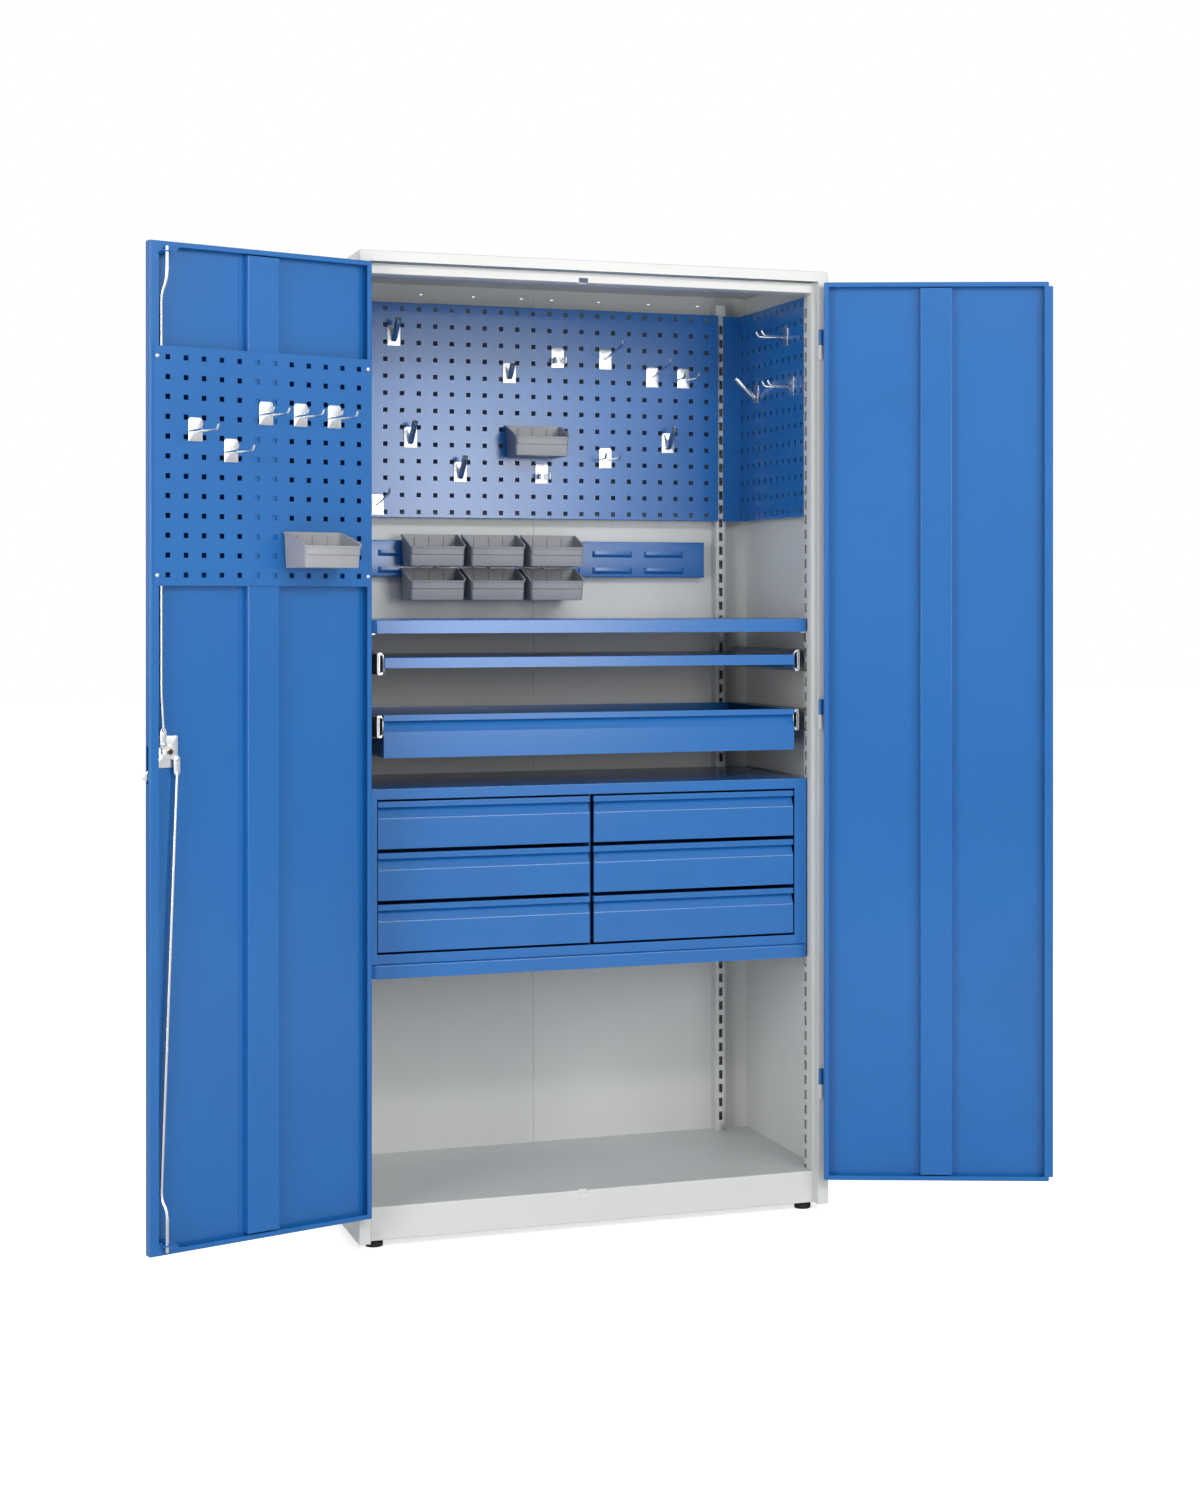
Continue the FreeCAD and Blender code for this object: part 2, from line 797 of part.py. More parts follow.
def make_back_panel():
    body = new_body("back_peg_panel")
    reach, low = panel_reach, panel_low
    pad(body, "XZ", [rectangle(minus(reach), reach, low, panel_top)], panel_front, upright_front)
    pocket(body, "XZ", [rectangle("panel_sheet - %s" % reach, "%s - panel_sheet" % reach,
                                  "%s + panel_sheet" % low, "%s - panel_sheet" % panel_top)],
           "%s + panel_sheet" % panel_front, "%s + overrun" % upright_front)
    first = square_at("-hole_pitch * (%d) / 2" % (panel_columns - 1), "%s + panel_end" % low)
    hole = pocket(body, "XZ", [first], "%s - overrun" % panel_front,
                  "%s + panel_sheet + overrun" % panel_front)
    repeat(body, hole, "H_Axis", "hole_pitch", panel_columns, ("V_Axis", "hole_pitch", panel_rows))
    keep("back_peg_panel", body)


def make_side_panel(label, sign):
    """A panel along the side, with a front flange and a wing folded across the back."""
    def x(text):
        return "%s * (%s)" % (sign, text)
    body = new_body(label)
    face = side_panel_face
    front = "(%s + side_panel_front)" % post_back
    profile = [
        (x("%s + panel_flange" % face), front),
        (x(face), front),
        (x(face), "%s - panel_sheet" % upright_front),
        (x("%s - side_panel_wing" % face), "%s - panel_sheet" % upright_front),
        (x("%s - side_panel_wing" % face), upright_front),
        (x("%s + panel_sheet" % face), upright_front),
        (x("%s + panel_sheet" % face), "%s + panel_sheet" % front),
        (x("%s + panel_flange" % face), "%s + panel_sheet" % front),
    ]
    pad(body, "XY", [profile], panel_low, panel_top)
    first = square_at("%s + side_panel_margin" % front, "%s + panel_end" % panel_low)
    inner = "%s - overrun" % face
    outer = "%s + panel_sheet + overrun" % face
    ends = (inner, outer) if sign == "1" else (minus(outer), minus(inner))
    hole = pocket(body, "YZ", [first], ends[0], ends[1])
    repeat(body, hole, "H_Axis", "hole_pitch", side_panel_columns, ("V_Axis", "hole_pitch", panel_rows))
    keep(label, body)


# Louvred rail and bins
def make_louvre_rail():
    body = new_body("louvre_rail")
    front = upright_front
    high = "%s + rail_height" % rail_bottom
    channel = [
        (front, rail_bottom),
        (back_front, rail_bottom),
        (back_front, "%s + panel_sheet" % rail_bottom),
        ("%s + panel_sheet" % front, "%s + panel_sheet" % rail_bottom),
        ("%s + panel_sheet" % front, "%s - panel_sheet" % high),
        (back_front, "%s - panel_sheet" % high),
        (back_front, high),
        (front, high),
    ]
    pad(body, "YZ", [channel], minus(rail_reach), rail_reach)
    start = "-((%d) * louvre_pitch / 2 + louvre_width / 2 + louvre_offset)" % (louvre_count - 1)
    for level in ("louvre_low", "louvre_high"):
        foot = "(%s + %s)" % (rail_bottom, level)
        lip = [
            (front, foot),
            ("%s - louvre_stand" % front, "%s + louvre_stand" % foot),
            ("%s - louvre_stand" % front, "%s + louvre_height" % foot),
            ("%s - louvre_stand + panel_sheet" % front, "%s + louvre_height" % foot),
            ("%s - louvre_stand + panel_sheet" % front, "%s + louvre_stand" % foot),
            (front, "%s + panel_sheet" % foot),
        ]
        louvre = pad(body, "YZ", [lip], start, "%s + louvre_width" % start)
        pattern = body.newObject("PartDesign::LinearPattern", fresh("pattern"))
        pattern.Originals = [louvre]
        pattern.Direction = (louvre.Profile[0], ["N_Axis"])
        pattern.setExpression("Length", bound("louvre_pitch * (%d)" % (louvre_count - 1)))
        pattern.Occurrences = louvre_count
        body.Tip = pattern
        doc.recompute()
    keep("louvre_rail", body)


def wedge(x, y, z, widths, depths, height):
    """A tapered block: half widths and depths at its bottom and at its top."""
    block = doc.addObject("Part::Wedge", fresh("wedge"))
    block.Placement.Rotation = Rotation(Vector(1, 0, 0), 90)
    for name, text in (
        ("Xmin", minus(widths[0])), ("Xmax", widths[0]), ("X2min", minus(widths[1])), ("X2max", widths[1]),
        ("Zmin", depths[0][0]), ("Zmax", depths[0][1]), ("Z2min", depths[1][0]), ("Z2max", depths[1][1]),
        ("Ymin", "0"), ("Ymax", height),
    ):
        block.setExpression(name, bound(text))
    for name, text in (("x", x), ("y", y), ("z", z)):
        block.setExpression("Placement.Base.%s" % name, bound(text))
    return block


def storage_bin(x, back, z):
    """An open-fronted stacking bin whose back stands at a place on Y."""
    low, high = "bin_width / 2 - bin_taper", "bin_width / 2 - bin_rim"
    body = wedge(x, back, z, (low, high),
                 (("0", "bin_depth - bin_taper"), ("0", "bin_depth - bin_rim")), "bin_height")
    rim = box("%s - bin_width / 2" % x, "%s + bin_width / 2" % x, "%s - bin_depth" % back, back,
              "%s + bin_height - 2 * bin_rim" % z, "%s + bin_height" % z)
    hollow = wedge(x, "%s - bin_wall" % back, "%s + bin_wall" % z,
                   ("%s - bin_wall" % low, "%s - bin_wall" % high),
                   (("0", "bin_depth - bin_taper - 2 * bin_wall"), ("0", "bin_depth - bin_rim - 2 * bin_wall")),
                   "bin_height")
    mouth = wedge(x, back, "%s + bin_front" % z, ("bin_width", "bin_width"),
                  (("bin_depth - bin_mouth_low", "bin_depth + overrun"),
                   ("bin_depth - bin_mouth", "bin_depth + overrun")),
                  "bin_height - bin_front")
    band = box("%s - bin_width / 2 + bin_band_inset" % x, "%s + bin_width / 2 - bin_band_inset" % x,
               "%s - bin_depth" % back, "%s - bin_depth + bin_taper + bin_wall" % back,
               "%s + bin_front - bin_band" % z, "%s + bin_front" % z)
    shell = cut(fuse(body, rim), mouth)
    return cut(fuse(shell, band), hollow)


def make_bins():
    rail_back = "%s - louvre_stand - bin_gap" % upright_front
    rail_bins = []
    for row in range(2):
        for column in range(3):
            x = "bin_spacing * (%s) - rail_bin_start" % (column + 0.5)
            rail_bins.append(storage_bin(x, rail_back, "%s - rail_bin_drop + rail_bin_rise * (%d)" % (rail_bottom, row)))
    keep("rail_bins", group(*rail_bins))
    panel_bin = storage_bin("bin_width / 2 - panel_bin_left", "%s - bin_gap" % panel_front,
                            "%s - panel_bin_drop" % panel_top)
    keep("panel_bin", panel_bin)
    door_bin = storage_bin("0", "0", "0")
    door_bin.Placement.Rotation = Rotation(Vector(0, 0, 1), 180)
    door_bin.setExpression("Placement.Base.x", bound("-%s + door_bin_place + bin_width / 2" % door_outer_edge))
    door_bin.setExpression("Placement.Base.y", bound("door_depth + panel_sheet + bin_gap"))
    door_bin.setExpression("Placement.Base.z", bound("%s - door_bin_drop" % door_panel_high))
    keep("door_bin", group(door_bin), "left")


# Hooks
def bar_between(start, end, radius):
    """A round bar from one point to another."""
    return Part.makeCylinder(radius, (end - start).Length, start, end - start)


def hook_plate():
    """A plate with rounded upper corners whose back lies at Y = 0 and whose top lies at Z = 0."""
    width, height = number("hook_plate_width"), number("hook_plate_height")
    thick, corner = number("hook_plate_sheet"), number("hook_corner")
    plate = Part.makeBox(width, thick, height, Vector(-width / 2, -thick, -height))
    edges = [edge for edge in plate.Edges
             if abs(edge.CenterOfMass.z) < corner and abs(abs(edge.CenterOfMass.x) - width / 2) < corner
             and edge.Length < corner]
    return plate.makeFillet(corner, edges)


def bent_wire(points):
    """A round wire through points, with a ball at each bend and at its end."""
    radius = number("prong_diameter") / 2
    pieces = [bar_between(points[i], points[i + 1], radius) for i in range(len(points) - 1)]
    return pieces + [Part.makeSphere(radius, point) for point in points[1:]]


def hook_shape(kind):
    """One hook, drawn with its plate in the XZ plane and its prongs along -Y."""
    plate = hook_plate()
    thick, height = number("hook_plate_sheet"), number("hook_plate_height")
    tip, spread = number("prong_tip"), number("prong_spread")
    middle = Vector(0, -thick / 2, -height / 2)
    if kind == "long":
        knee = middle + Vector(0, -number("long_prong"), number("prong_rise"))
        return plate.fuse(bent_wire([middle, knee, knee + Vector(0, -tip / 2, tip)]))
    if kind == "pair":
        drop = number("pair_drop")
        wires = []
        for side in (-1, 1):
            root = Vector(side * spread / 2, -thick / 2, -drop)
            knee = root + Vector(side * tip / 2, -number("pair_prong"), 0)
            wires += bent_wire([root, knee, knee + Vector(0, -tip / 2, tip)])
        return plate.fuse(wires)
    if kind == "clip":
        sheet_side, arm, opening = number("clip_arm_sheet"), number("clip_arm_width"), number("clip_opening")
        outer = opening / 2 + sheet_side
        center = Vector(0, -thick - number("clip_stand") - outer, -height / 2 - arm / 2)
        ring = Part.makeCylinder(outer, arm, center).cut(Part.makeCylinder(opening / 2, arm, center))
        mouth = Part.makeBox(opening, 2 * outer, arm, center + Vector(-opening / 2, -2 * outer - opening / 4, 0))
        stand = Part.makeBox(arm, number("clip_stand") + 2 * sheet_side, arm,
                             Vector(-arm / 2, -thick - number("clip_stand") - sheet_side, center.z))
        hollow = Part.makeCylinder(opening / 2, arm, center)
        return plate.fuse([ring.cut(mouth), stand.cut(hollow)])
    length = number("short_tube") if kind == "stub" else number("tube_length")
    lean = math.radians(number("tube_lean"))
    along = Vector(0, -math.sin(lean), math.cos(lean))
    outer = number("tube_diameter") / 2
    start = Vector(0, -thick / 2 - outer * math.cos(lean), -height * 3 / 4)
    tube = Part.makeCylinder(outer, length, start, along)
    bore = Part.makeCylinder(outer - number("tube_wall"), length, start, along)
    return plate.fuse([tube.cut(bore)])


def hooks_at(places, locate, columns):
    """The hooks of one panel, as far as its columns of holes reach."""
    shapes = []
    for kind, column, row in places:
        if column > columns - 1:
            continue
        shape = hook_shape(kind)
        shape.Placement = locate(column, row)
        shapes.append(shape)
    return Part.makeCompound(shapes)


# Kind of hook, column and row of the hole that its plate hangs from, halfway between two columns
back_hooks = [
    ("tube", 1.5, 1), ("stub", 8.5, 3), ("clip", 11.5, 2), ("pair", 19.5, 3),
    ("tube", 2.5, 7), ("tube", 5.5, 9), ("clip", 10.5, 9), ("pair", 14.5, 8),
    ("long", 0.5, 11), ("long", 14.5, 2), ("long", 17.5, 3), ("tube", 18.5, 7),
]
side_hooks = [("pair", 2.5, 1), ("tube", 7.5, 4), ("pair", 1.5, 4)]
door_hooks = [("pair", 9.5, 3), ("pair", 7.5, 4), ("pair", 5.5, 2), ("pair", 3.5, 2), ("pair", 1.5, 2)]


def make_hooks():
    pitch = number("hole_pitch")
    top_row = number(first_row)

    def on_back(column, row):
        x = (column - (panel_columns - 1) / 2) * pitch
        return FreeCAD.Placement(Vector(x, number(panel_front), top_row - row * pitch), Rotation())

    def on_side(column, row):
        y = number("%s + side_panel_front + side_panel_margin" % post_back) + column * pitch
        turn = Rotation(Vector(0, 0, 1), -90)
        return FreeCAD.Placement(Vector(number(side_panel_face), y, top_row - row * pitch), turn)

    def on_door(column, row):
        x = number(door_panel_first) + column * pitch
        turn = Rotation(Vector(0, 0, 1), 180)
        z = number("%s - door_panel_end" % door_panel_high) - row * pitch
        return FreeCAD.Placement(Vector(x, number("door_depth + panel_sheet"), z), turn)

    for label, lists, swing in (
        ("cabinet_hooks",
         ((back_hooks, on_back, panel_columns), (side_hooks, on_side, side_panel_columns)), None),
        ("door_hooks", ((door_hooks, on_door, door_panel_columns),), "left"),
    ):
        holder = doc.addObject("Part::Feature", label)
        holder.Shape = Part.makeCompound([hooks_at(*row) for row in lists])
        keep(label, holder, swing)


# Shelves
def make_shelf(label, top):
    """A shelf folded down on all four sides, with its front corners clipped."""
    body = new_body(label)
    reach = "(%s - shelf_gap)" % clear_half
    back = "(%s - shelf_back_gap)" % upright_front
    corner = "shelf_corner"

    def tray(inset):
        return [
            (minus("%s - %s - %s" % (reach, corner, inset)), "shelf_setback + %s" % inset),
            ("%s - %s - %s" % (reach, corner, inset), "shelf_setback + %s" % inset),
            ("%s - %s" % (reach, inset), "shelf_setback + %s + %s" % (corner, inset)),
            ("%s - %s" % (reach, inset), "%s - %s" % (back, inset)),
            (minus("%s - %s" % (reach, inset)), "%s - %s" % (back, inset)),
            (minus("%s - %s" % (reach, inset)), "shelf_setback + %s + %s" % (corner, inset)),
        ]

    pad(body, "XY", [tray("0")], "%s - shelf_lip" % top, top)
    pocket(body, "XY", [tray("wall_sheet")], "%s - shelf_lip - overrun" % top, "%s - wall_sheet" % top)
    keep(label, body)


def make_clips():
    """Angle clips that hang in the slots and carry the two fixed shelves."""
    clips = []
    for top in ("upper_shelf_top", "base_shelf_top"):
        level = "(%s - shelf_lip)" % top
        for sign in ("-1", "1"):
            inner, face = "%s - clip_reach" % clear_half, clear_half
            edges = (inner, face) if sign == "1" else (minus(face), minus(inner))
            back_plate = ("%s - clip_sheet" % face, face) if sign == "1" else (
                minus(face), minus("%s - clip_sheet" % face))
            front = "door_recess + slot_setback"
            shelf = box(edges[0], edges[1], front, "%s + clip_width" % front,
                        "%s - clip_sheet" % level, level)
            plate = box(back_plate[0], back_plate[1], front, "%s + clip_width" % front,
                        "%s - clip_height" % level, level)
            clips.append(fuse(shelf, plate))
            middle = "%s * (%s - upright_width / 2)" % (sign, upright_outer)
            low_x, high_x = "%s - clip_width / 2" % middle, "%s + clip_width / 2" % middle
            shelf = box(low_x, high_x, "%s - clip_reach" % upright_front, upright_front,
                        "%s - clip_sheet" % level, level)
            plate = box(low_x, high_x, "%s - clip_sheet" % upright_front, upright_front,
                        "%s - clip_height" % level, level)
            clips.append(fuse(shelf, plate))
    keep("shelf_clips", group(*clips))


# Slides of the pull-out shelf and the wide drawer
slide_inner_face = "(%s - runner_room)" % clear_half
slide_outer_face = "(%s + slide_width)" % slide_inner_face


def channel(web_low, web_high, flange, half_height, low_y, high_y, level):
    """A channel lying on its side: a web, and flanges that end at a place on X."""
    thick = "slide_sheet"
    web = box(web_low, web_high, low_y, high_y, "%s - %s" % (level, half_height), "%s + %s" % (level, half_height))
    low_x, high_x = sorted((web_low, web_high, flange), key=number)[::2]
    top = box(low_x, high_x, low_y, high_y,
              "%s + %s - %s" % (level, half_height, thick), "%s + %s" % (level, half_height))
    bottom = box(low_x, high_x, low_y, high_y,
                 "%s - %s" % (level, half_height), "%s - %s + %s" % (level, half_height, thick))
    return fuse(web, top, bottom)


def make_slides(name, setback, depth, level):
    """The members of a pair of ball bearing slides, and the brackets that hang them."""
    front = "(%s + slide_setback)" % setback
    back = "(%s + %s)" % (setback, depth)
    half = "(slide_height / 2)"
    thick = "slide_sheet"
    outer_web = ("%s - %s" % (slide_outer_face, thick), slide_outer_face)
    middle_half = "(slide_height / 2 - slide_sheet - slide_clearance)"
    inner_half = "(slide_height / 2 - 2 * slide_sheet - 2 * slide_clearance)"
    middle_web_high = "(%s - %s - slide_member_drop)" % (slide_outer_face, thick)
    members = {
        "outer": channel(outer_web[0], outer_web[1], "%s + 2 * %s" % (slide_inner_face, thick),
                         half, front, back, level),
        "middle": channel("%s - %s" % (middle_web_high, thick), middle_web_high,
                          "%s + 2 * %s + slide_clearance" % (slide_inner_face, thick),
                          middle_half, front, back, level),
        "inner": channel(slide_inner_face, "%s + %s" % (slide_inner_face, thick),
                         "%s + slide_inner_flange" % slide_inner_face, inner_half, front, back, level),
        "bracket": channel(slide_outer_face, "%s + %s" % (slide_outer_face, thick), clear_half, half,
                           "door_recess + slot_setback", back, level),
    }
    for member in ("middle", "inner"):
        keep("%s_slide_%s" % (name, member), group(members[member], mirrored(members[member])))
    return [members["outer"], mirrored(members["outer"])], [members["bracket"], mirrored(members["bracket"])]


def make_pullout():
    """The pull-out shelf: a flat top folded down at the front, and deeper at the sides."""
    body = new_body("pullout_shelf")
    reach = slide_inner_face
    back = "(pullout_setback + pullout_depth)"
    low = "(pullout_top - pullout_side)"
    thick = "wall_sheet"
    pad(body, "XY", [rectangle(minus(reach), reach, "pullout_setback", back)], low, "pullout_top")
    pocket(body, "XY", [rectangle("%s - %s" % (thick, reach), "%s - %s" % (reach, thick),
                                  "pullout_setback + %s" % thick, "%s - %s" % (back, thick))],
           "%s - overrun" % low, "pullout_top - %s" % thick)
    pocket(body, "XY", [rectangle(minus("%s + overrun" % reach), "%s + overrun" % reach,
                                  "pullout_setback - overrun", "pullout_setback + %s" % thick)],
           "%s - overrun" % low, "pullout_top - pullout_lip")
    keep("pullout_shelf", body)


# Drawers
def front_profile(face, low, high):
    """A drawer front in section: a grip ledge, a sloping recess below it, and a flat face."""
    thick = "drawer_sheet"
    ledge = "(%s - grip_ledge)" % high
    knee = "(%s - grip_recess)" % ledge
    return [
        ("%s + grip_depth + %s" % (face, thick), high),
        (face, high),
        (face, ledge),
        ("%s + grip_depth" % face, ledge),
        (face, knee),
        (face, low),
        ("%s + %s" % (face, thick), low),
        ("%s + %s" % (face, thick), "%s - %s / 4" % (knee, thick)),
        ("%s + grip_depth + %s" % (face, thick), "%s - %s / 4" % (ledge, thick)),
    ]


def drawer_wall(label, low_x, high_x, outline, grip):
    """A side wall of a drawer's tray, cut to fit behind the grip."""
    body = new_body(label)
    pad(body, "YZ", [outline], low_x, high_x)
    pocket(body, "YZ", [grip], "%s - overrun" % low_x, "%s + overrun" % high_x)
    return body


def make_drawer(label, front_edges, box_edges, face, depth, low, height, box_low, box_high):
    """An open-topped tray of flat walls on a floor, and the front that closes it."""
    thick = "drawer_sheet"
    back = "(%s + %s)" % (face, depth)
    start = "(%s + %s)" % (face, thick)
    behind_grip = "(%s + grip_depth + %s)" % (face, thick)
    high = "(%s + %s)" % (low, height)
    grip_foot = "(%s - grip_ledge - grip_recess - %s / 4)" % (high, thick)
    floor_top = "(%s + %s)" % (box_low, thick)
    left, right = box_edges
    left_inner, right_inner = "(%s + %s)" % (left, thick), "(%s - %s)" % (right, thick)
    floor = box(left, right, start, back, box_low, floor_top)
    rear = box(left_inner, right_inner, "%s - %s" % (back, thick), back, floor_top, box_high)
    outline = rectangle(start, back, floor_top, box_high)
    grip = [(face, grip_foot), (start, grip_foot), (behind_grip, "%s - grip_ledge - %s / 4" % (high, thick)),
            (behind_grip, "%s + overrun" % high), (face, "%s + overrun" % high)]
    left_wall = drawer_wall(label + "_left_wall", left, left_inner, outline, grip)
    right_wall = drawer_wall(label + "_right_wall", right_inner, right, outline, grip)
    front = new_body(label + "_front")
    pad(front, "YZ", [front_profile(face, low, high)], front_edges[0], front_edges[1])
    keep(label, group(floor, rear, left_wall, right_wall, front))


def make_wide_drawer():
    reach = slide_inner_face
    low = "(wide_top - wide_height)"
    make_drawer("wide_drawer", (minus(reach), reach), (minus(reach), reach), "wide_setback",
                "wide_depth", low, "wide_height", "(%s + drawer_sheet)" % low, "(wide_top - drawer_sheet)")


unit_low = "base_shelf_top"
unit_high = "(base_shelf_top + unit_height)"
unit_half = "(%s - unit_gap)" % clear_half
drawer_face = "(unit_setback + drawer_setback)"
unit_middle = "((unit_frame - unit_narrow_frame) / 2)"
window_half = "(%s - (unit_frame + unit_narrow_frame) / 2)" % unit_half


def unit_span(sign, near, far):
    """Two distances from the unit's own middle line, as edges across the cabinet."""
    low, high = (near, far) if sign == "1" else (minus(far), minus(near))
    return "(%s - %s)" % (low, unit_middle), "(%s - %s)" % (high, unit_middle)


def make_unit():
    """The drawer unit: a closed case with one wide opening, a divider, and runners."""
    body = new_body("unit_case")
    back = "(unit_setback + unit_depth)"
    thick = "wall_sheet"
    pad(body, "XZ", [rectangle(minus(unit_half), unit_half, unit_low, unit_high)], "unit_setback", back)
    pocket(body, "XZ", [rectangle("%s - %s" % (thick, unit_half), "%s - %s" % (unit_half, thick),
                                  "%s + %s" % (unit_low, thick), "%s - %s" % (unit_high, thick))],
           "unit_setback + %s" % thick, "%s - %s" % (back, thick))
    window = ("(-%s - %s)" % (window_half, unit_middle), "(%s - %s)" % (window_half, unit_middle))
    pocket(body, "XZ", [rectangle(window[0], window[1], "%s + unit_sill" % unit_low,
                                  "%s - unit_head" % unit_high)],
           "unit_setback - overrun", "unit_setback + %s + overrun" % thick)
    inner_front = "(%s + grip_depth + 2 * drawer_sheet)" % drawer_face
    divider = box("-unit_divider / 2 - %s" % unit_middle, "unit_divider / 2 - %s" % unit_middle, inner_front, "%s - %s" % (back, thick),
                  "%s + %s" % (unit_low, thick), "%s - %s" % (unit_high, thick))
    keep("unit_case", group(body, divider))


def drawer_low(row):
    """The bottom of a drawer front, counted from the top row."""
    return "(%s - unit_head - drawer_height - drawer_middle_gap - drawer_pitch * (%d))" % (unit_high, row)


def make_unit_drawers():
    """Six drawers in two columns, each carried by two angle runners."""
    runners = []
    near = "drawer_middle_gap"
    far = "(%s - drawer_side_gap)" % window_half
    box_near = "(drawer_middle_gap + drawer_box_inset)"
    box_far = "(%s - drawer_box_inset)" % far
    back = "(unit_setback + unit_depth - wall_sheet)"
    front = "(%s + grip_depth + 2 * drawer_sheet)" % drawer_face
    for row in range(drawer_rows):
        low = drawer_low(row)
        box_low = "(%s + drawer_box_rise)" % low
        level = "(%s - runner_clearance)" % box_low
        for sign, side in (("-1", "left"), ("1", "right")):
            make_drawer("%s_drawer_%d" % (side, row + 1), unit_span(sign, near, far),
                        unit_span(sign, box_near, box_far), drawer_face, "drawer_depth",
                        low, "drawer_height", box_low, "(%s + drawer_box_height)" % box_low)
            wall = "(%s - wall_sheet + (%s) * %s)" % (unit_half, sign, unit_middle)
            leg_edge = "%s + runner_leg" % box_near
            inner = unit_span(sign, "unit_divider / 2", leg_edge)
            shelf = unit_span(sign, "%s - runner_leg" % box_far, wall)
            guard = unit_span(sign, "%s + runner_clearance" % box_far,
                              "%s + runner_clearance + runner_sheet" % box_far)
            for edges in (inner, shelf):
                runners.append(box(edges[0], edges[1], front, back, "%s - runner_sheet" % level, level))
            runners.append(box(guard[0], guard[1], front, back, level, "%s + runner_leg" % level))
    keep("drawer_runners", group(*runners))


# Doors
def door_edges(side):
    if side == "left":
        return minus(door_outer_edge), minus(door_free_edge)
    return door_free_edge, door_outer_edge


def make_door_pan(side):
    """A door: an outer sheet folded in on four sides, with lips along the inside."""
    label = side + "_door_pan"
    body = new_body(label)
    left, right = door_edges(side)
    lips = ("hinge_lip", "left_free_lip") if side == "left" else ("right_free_lip", "hinge_lip")
    thick = "door_sheet"
    pad(body, "XZ", [rectangle(left, right, door_low, door_high)], "0", "door_depth")
    pocket(body, "XZ", [rectangle("%s + %s" % (left, thick), "%s - %s" % (right, thick),
                                  "%s + %s" % (door_low, thick), "%s - %s" % (door_high, thick))],
           thick, lip_front)
    window_left, window_right = "%s + %s" % (left, lips[0]), "%s - %s" % (right, lips[1])
    window_low, window_high = "%s + door_lip" % door_low, "%s - door_lip" % door_high
    window = rectangle(window_left, window_right, window_low, window_high)
    if side == "left":
        window = [
            (window_left, window_low),
            ("%s - gusset_width" % window_right, window_low),
            ("%s - gusset_width + gusset_height" % window_right, "%s + gusset_height" % window_low),
            (window_right, "%s + gusset_height" % window_low),
            (window_right, "%s - gusset_height" % window_high),
            ("%s - gusset_width + gusset_height" % window_right, "%s - gusset_height" % window_high),
            ("%s - gusset_width" % window_right, window_high),
            (window_left, window_high),
        ]
    pocket(body, "XZ", [window], "%s - overrun" % lip_front, "door_depth + overrun")
    slot_y = "%s + (arm_sheet - arm_slot_width) / 2" % arm_front
    slot_low, slot_high = "%s - arm_slot_below" % lock_z, "%s + arm_slot_above" % lock_z
    if side == "left":
        cut_low, cut_high = "%s - %s" % (minus(door_free_edge), "2 * " + thick), "overrun"
        pocket(body, "XZ", [], "%s - overrun" % lip_front, "door_depth + overrun", panel_screw_holes)
        pocket(body, "XZ", [], "-overrun", "%s + overrun" % thick,
               [((minus(lock_x), lock_z), "spindle_diameter + 4 * spindle_clearance")])
    else:
        cut_low, cut_high = "-overrun", "%s + 2 * %s" % (door_free_edge, thick)
    pocket(body, "YZ", [rectangle(slot_y, "%s + arm_slot_width" % slot_y, slot_low, slot_high)],
           cut_low, cut_high)
    keep(label, body, side)


def make_stiffener(side):
    """A hat section down the middle of a door."""
    label = side + "_door_stiffener"
    body = new_body(label)
    left, right = door_edges(side)
    middle = "((%s + %s) / 2)" % (left, right)
    web, brim = "(stiffener_width / 2)", "(stiffener_width / 2 + stiffener_flange)"
    thick = "door_sheet"
    top = "(%s - panel_sheet / 4)" % lip_front
    hat = [
        ("%s - %s" % (middle, brim), thick),
        ("%s - %s + %s" % (middle, web, thick), thick),
        ("%s - %s + %s" % (middle, web, thick), "%s - %s" % (top, thick)),
        ("%s + %s - %s" % (middle, web, thick), "%s - %s" % (top, thick)),
        ("%s + %s - %s" % (middle, web, thick), thick),
        ("%s + %s" % (middle, brim), thick),
        ("%s + %s" % (middle, brim), "2 * %s" % thick),
        ("%s + %s" % (middle, web), "2 * %s" % thick),
        ("%s + %s" % (middle, web), top),
        ("%s - %s" % (middle, web), top),
        ("%s - %s" % (middle, web), "2 * %s" % thick),
        ("%s - %s" % (middle, brim), "2 * %s" % thick),
    ]
    pad(body, "XY", [hat], "%s + door_lip + stiffener_gap" % door_low, "%s - door_lip - stiffener_gap" % door_high)
    keep(label, body, side)


def make_meeting_strip():
    """A joggled strip on the right door that laps behind the left door's edge."""
    body = new_body("meeting_strip")
    edge = door_free_edge
    face, step = "door_depth", "(door_depth + strip_joggle)"
    section = [
        ("%s + strip_hold" % edge, face),
        ("%s + strip_hold" % edge, "%s + door_sheet" % face),
        (edge, "%s + door_sheet" % step),
        ("%s - strip_reach" % edge, "%s + door_sheet" % step),
        ("%s - strip_reach" % edge, step),
        (edge, step),
        ("%s + door_sheet" % edge, face),
    ]
    pad(body, "XY", [section], "%s + door_lip" % door_low, "%s - door_lip" % door_high)
    keep("meeting_strip", body, "right")


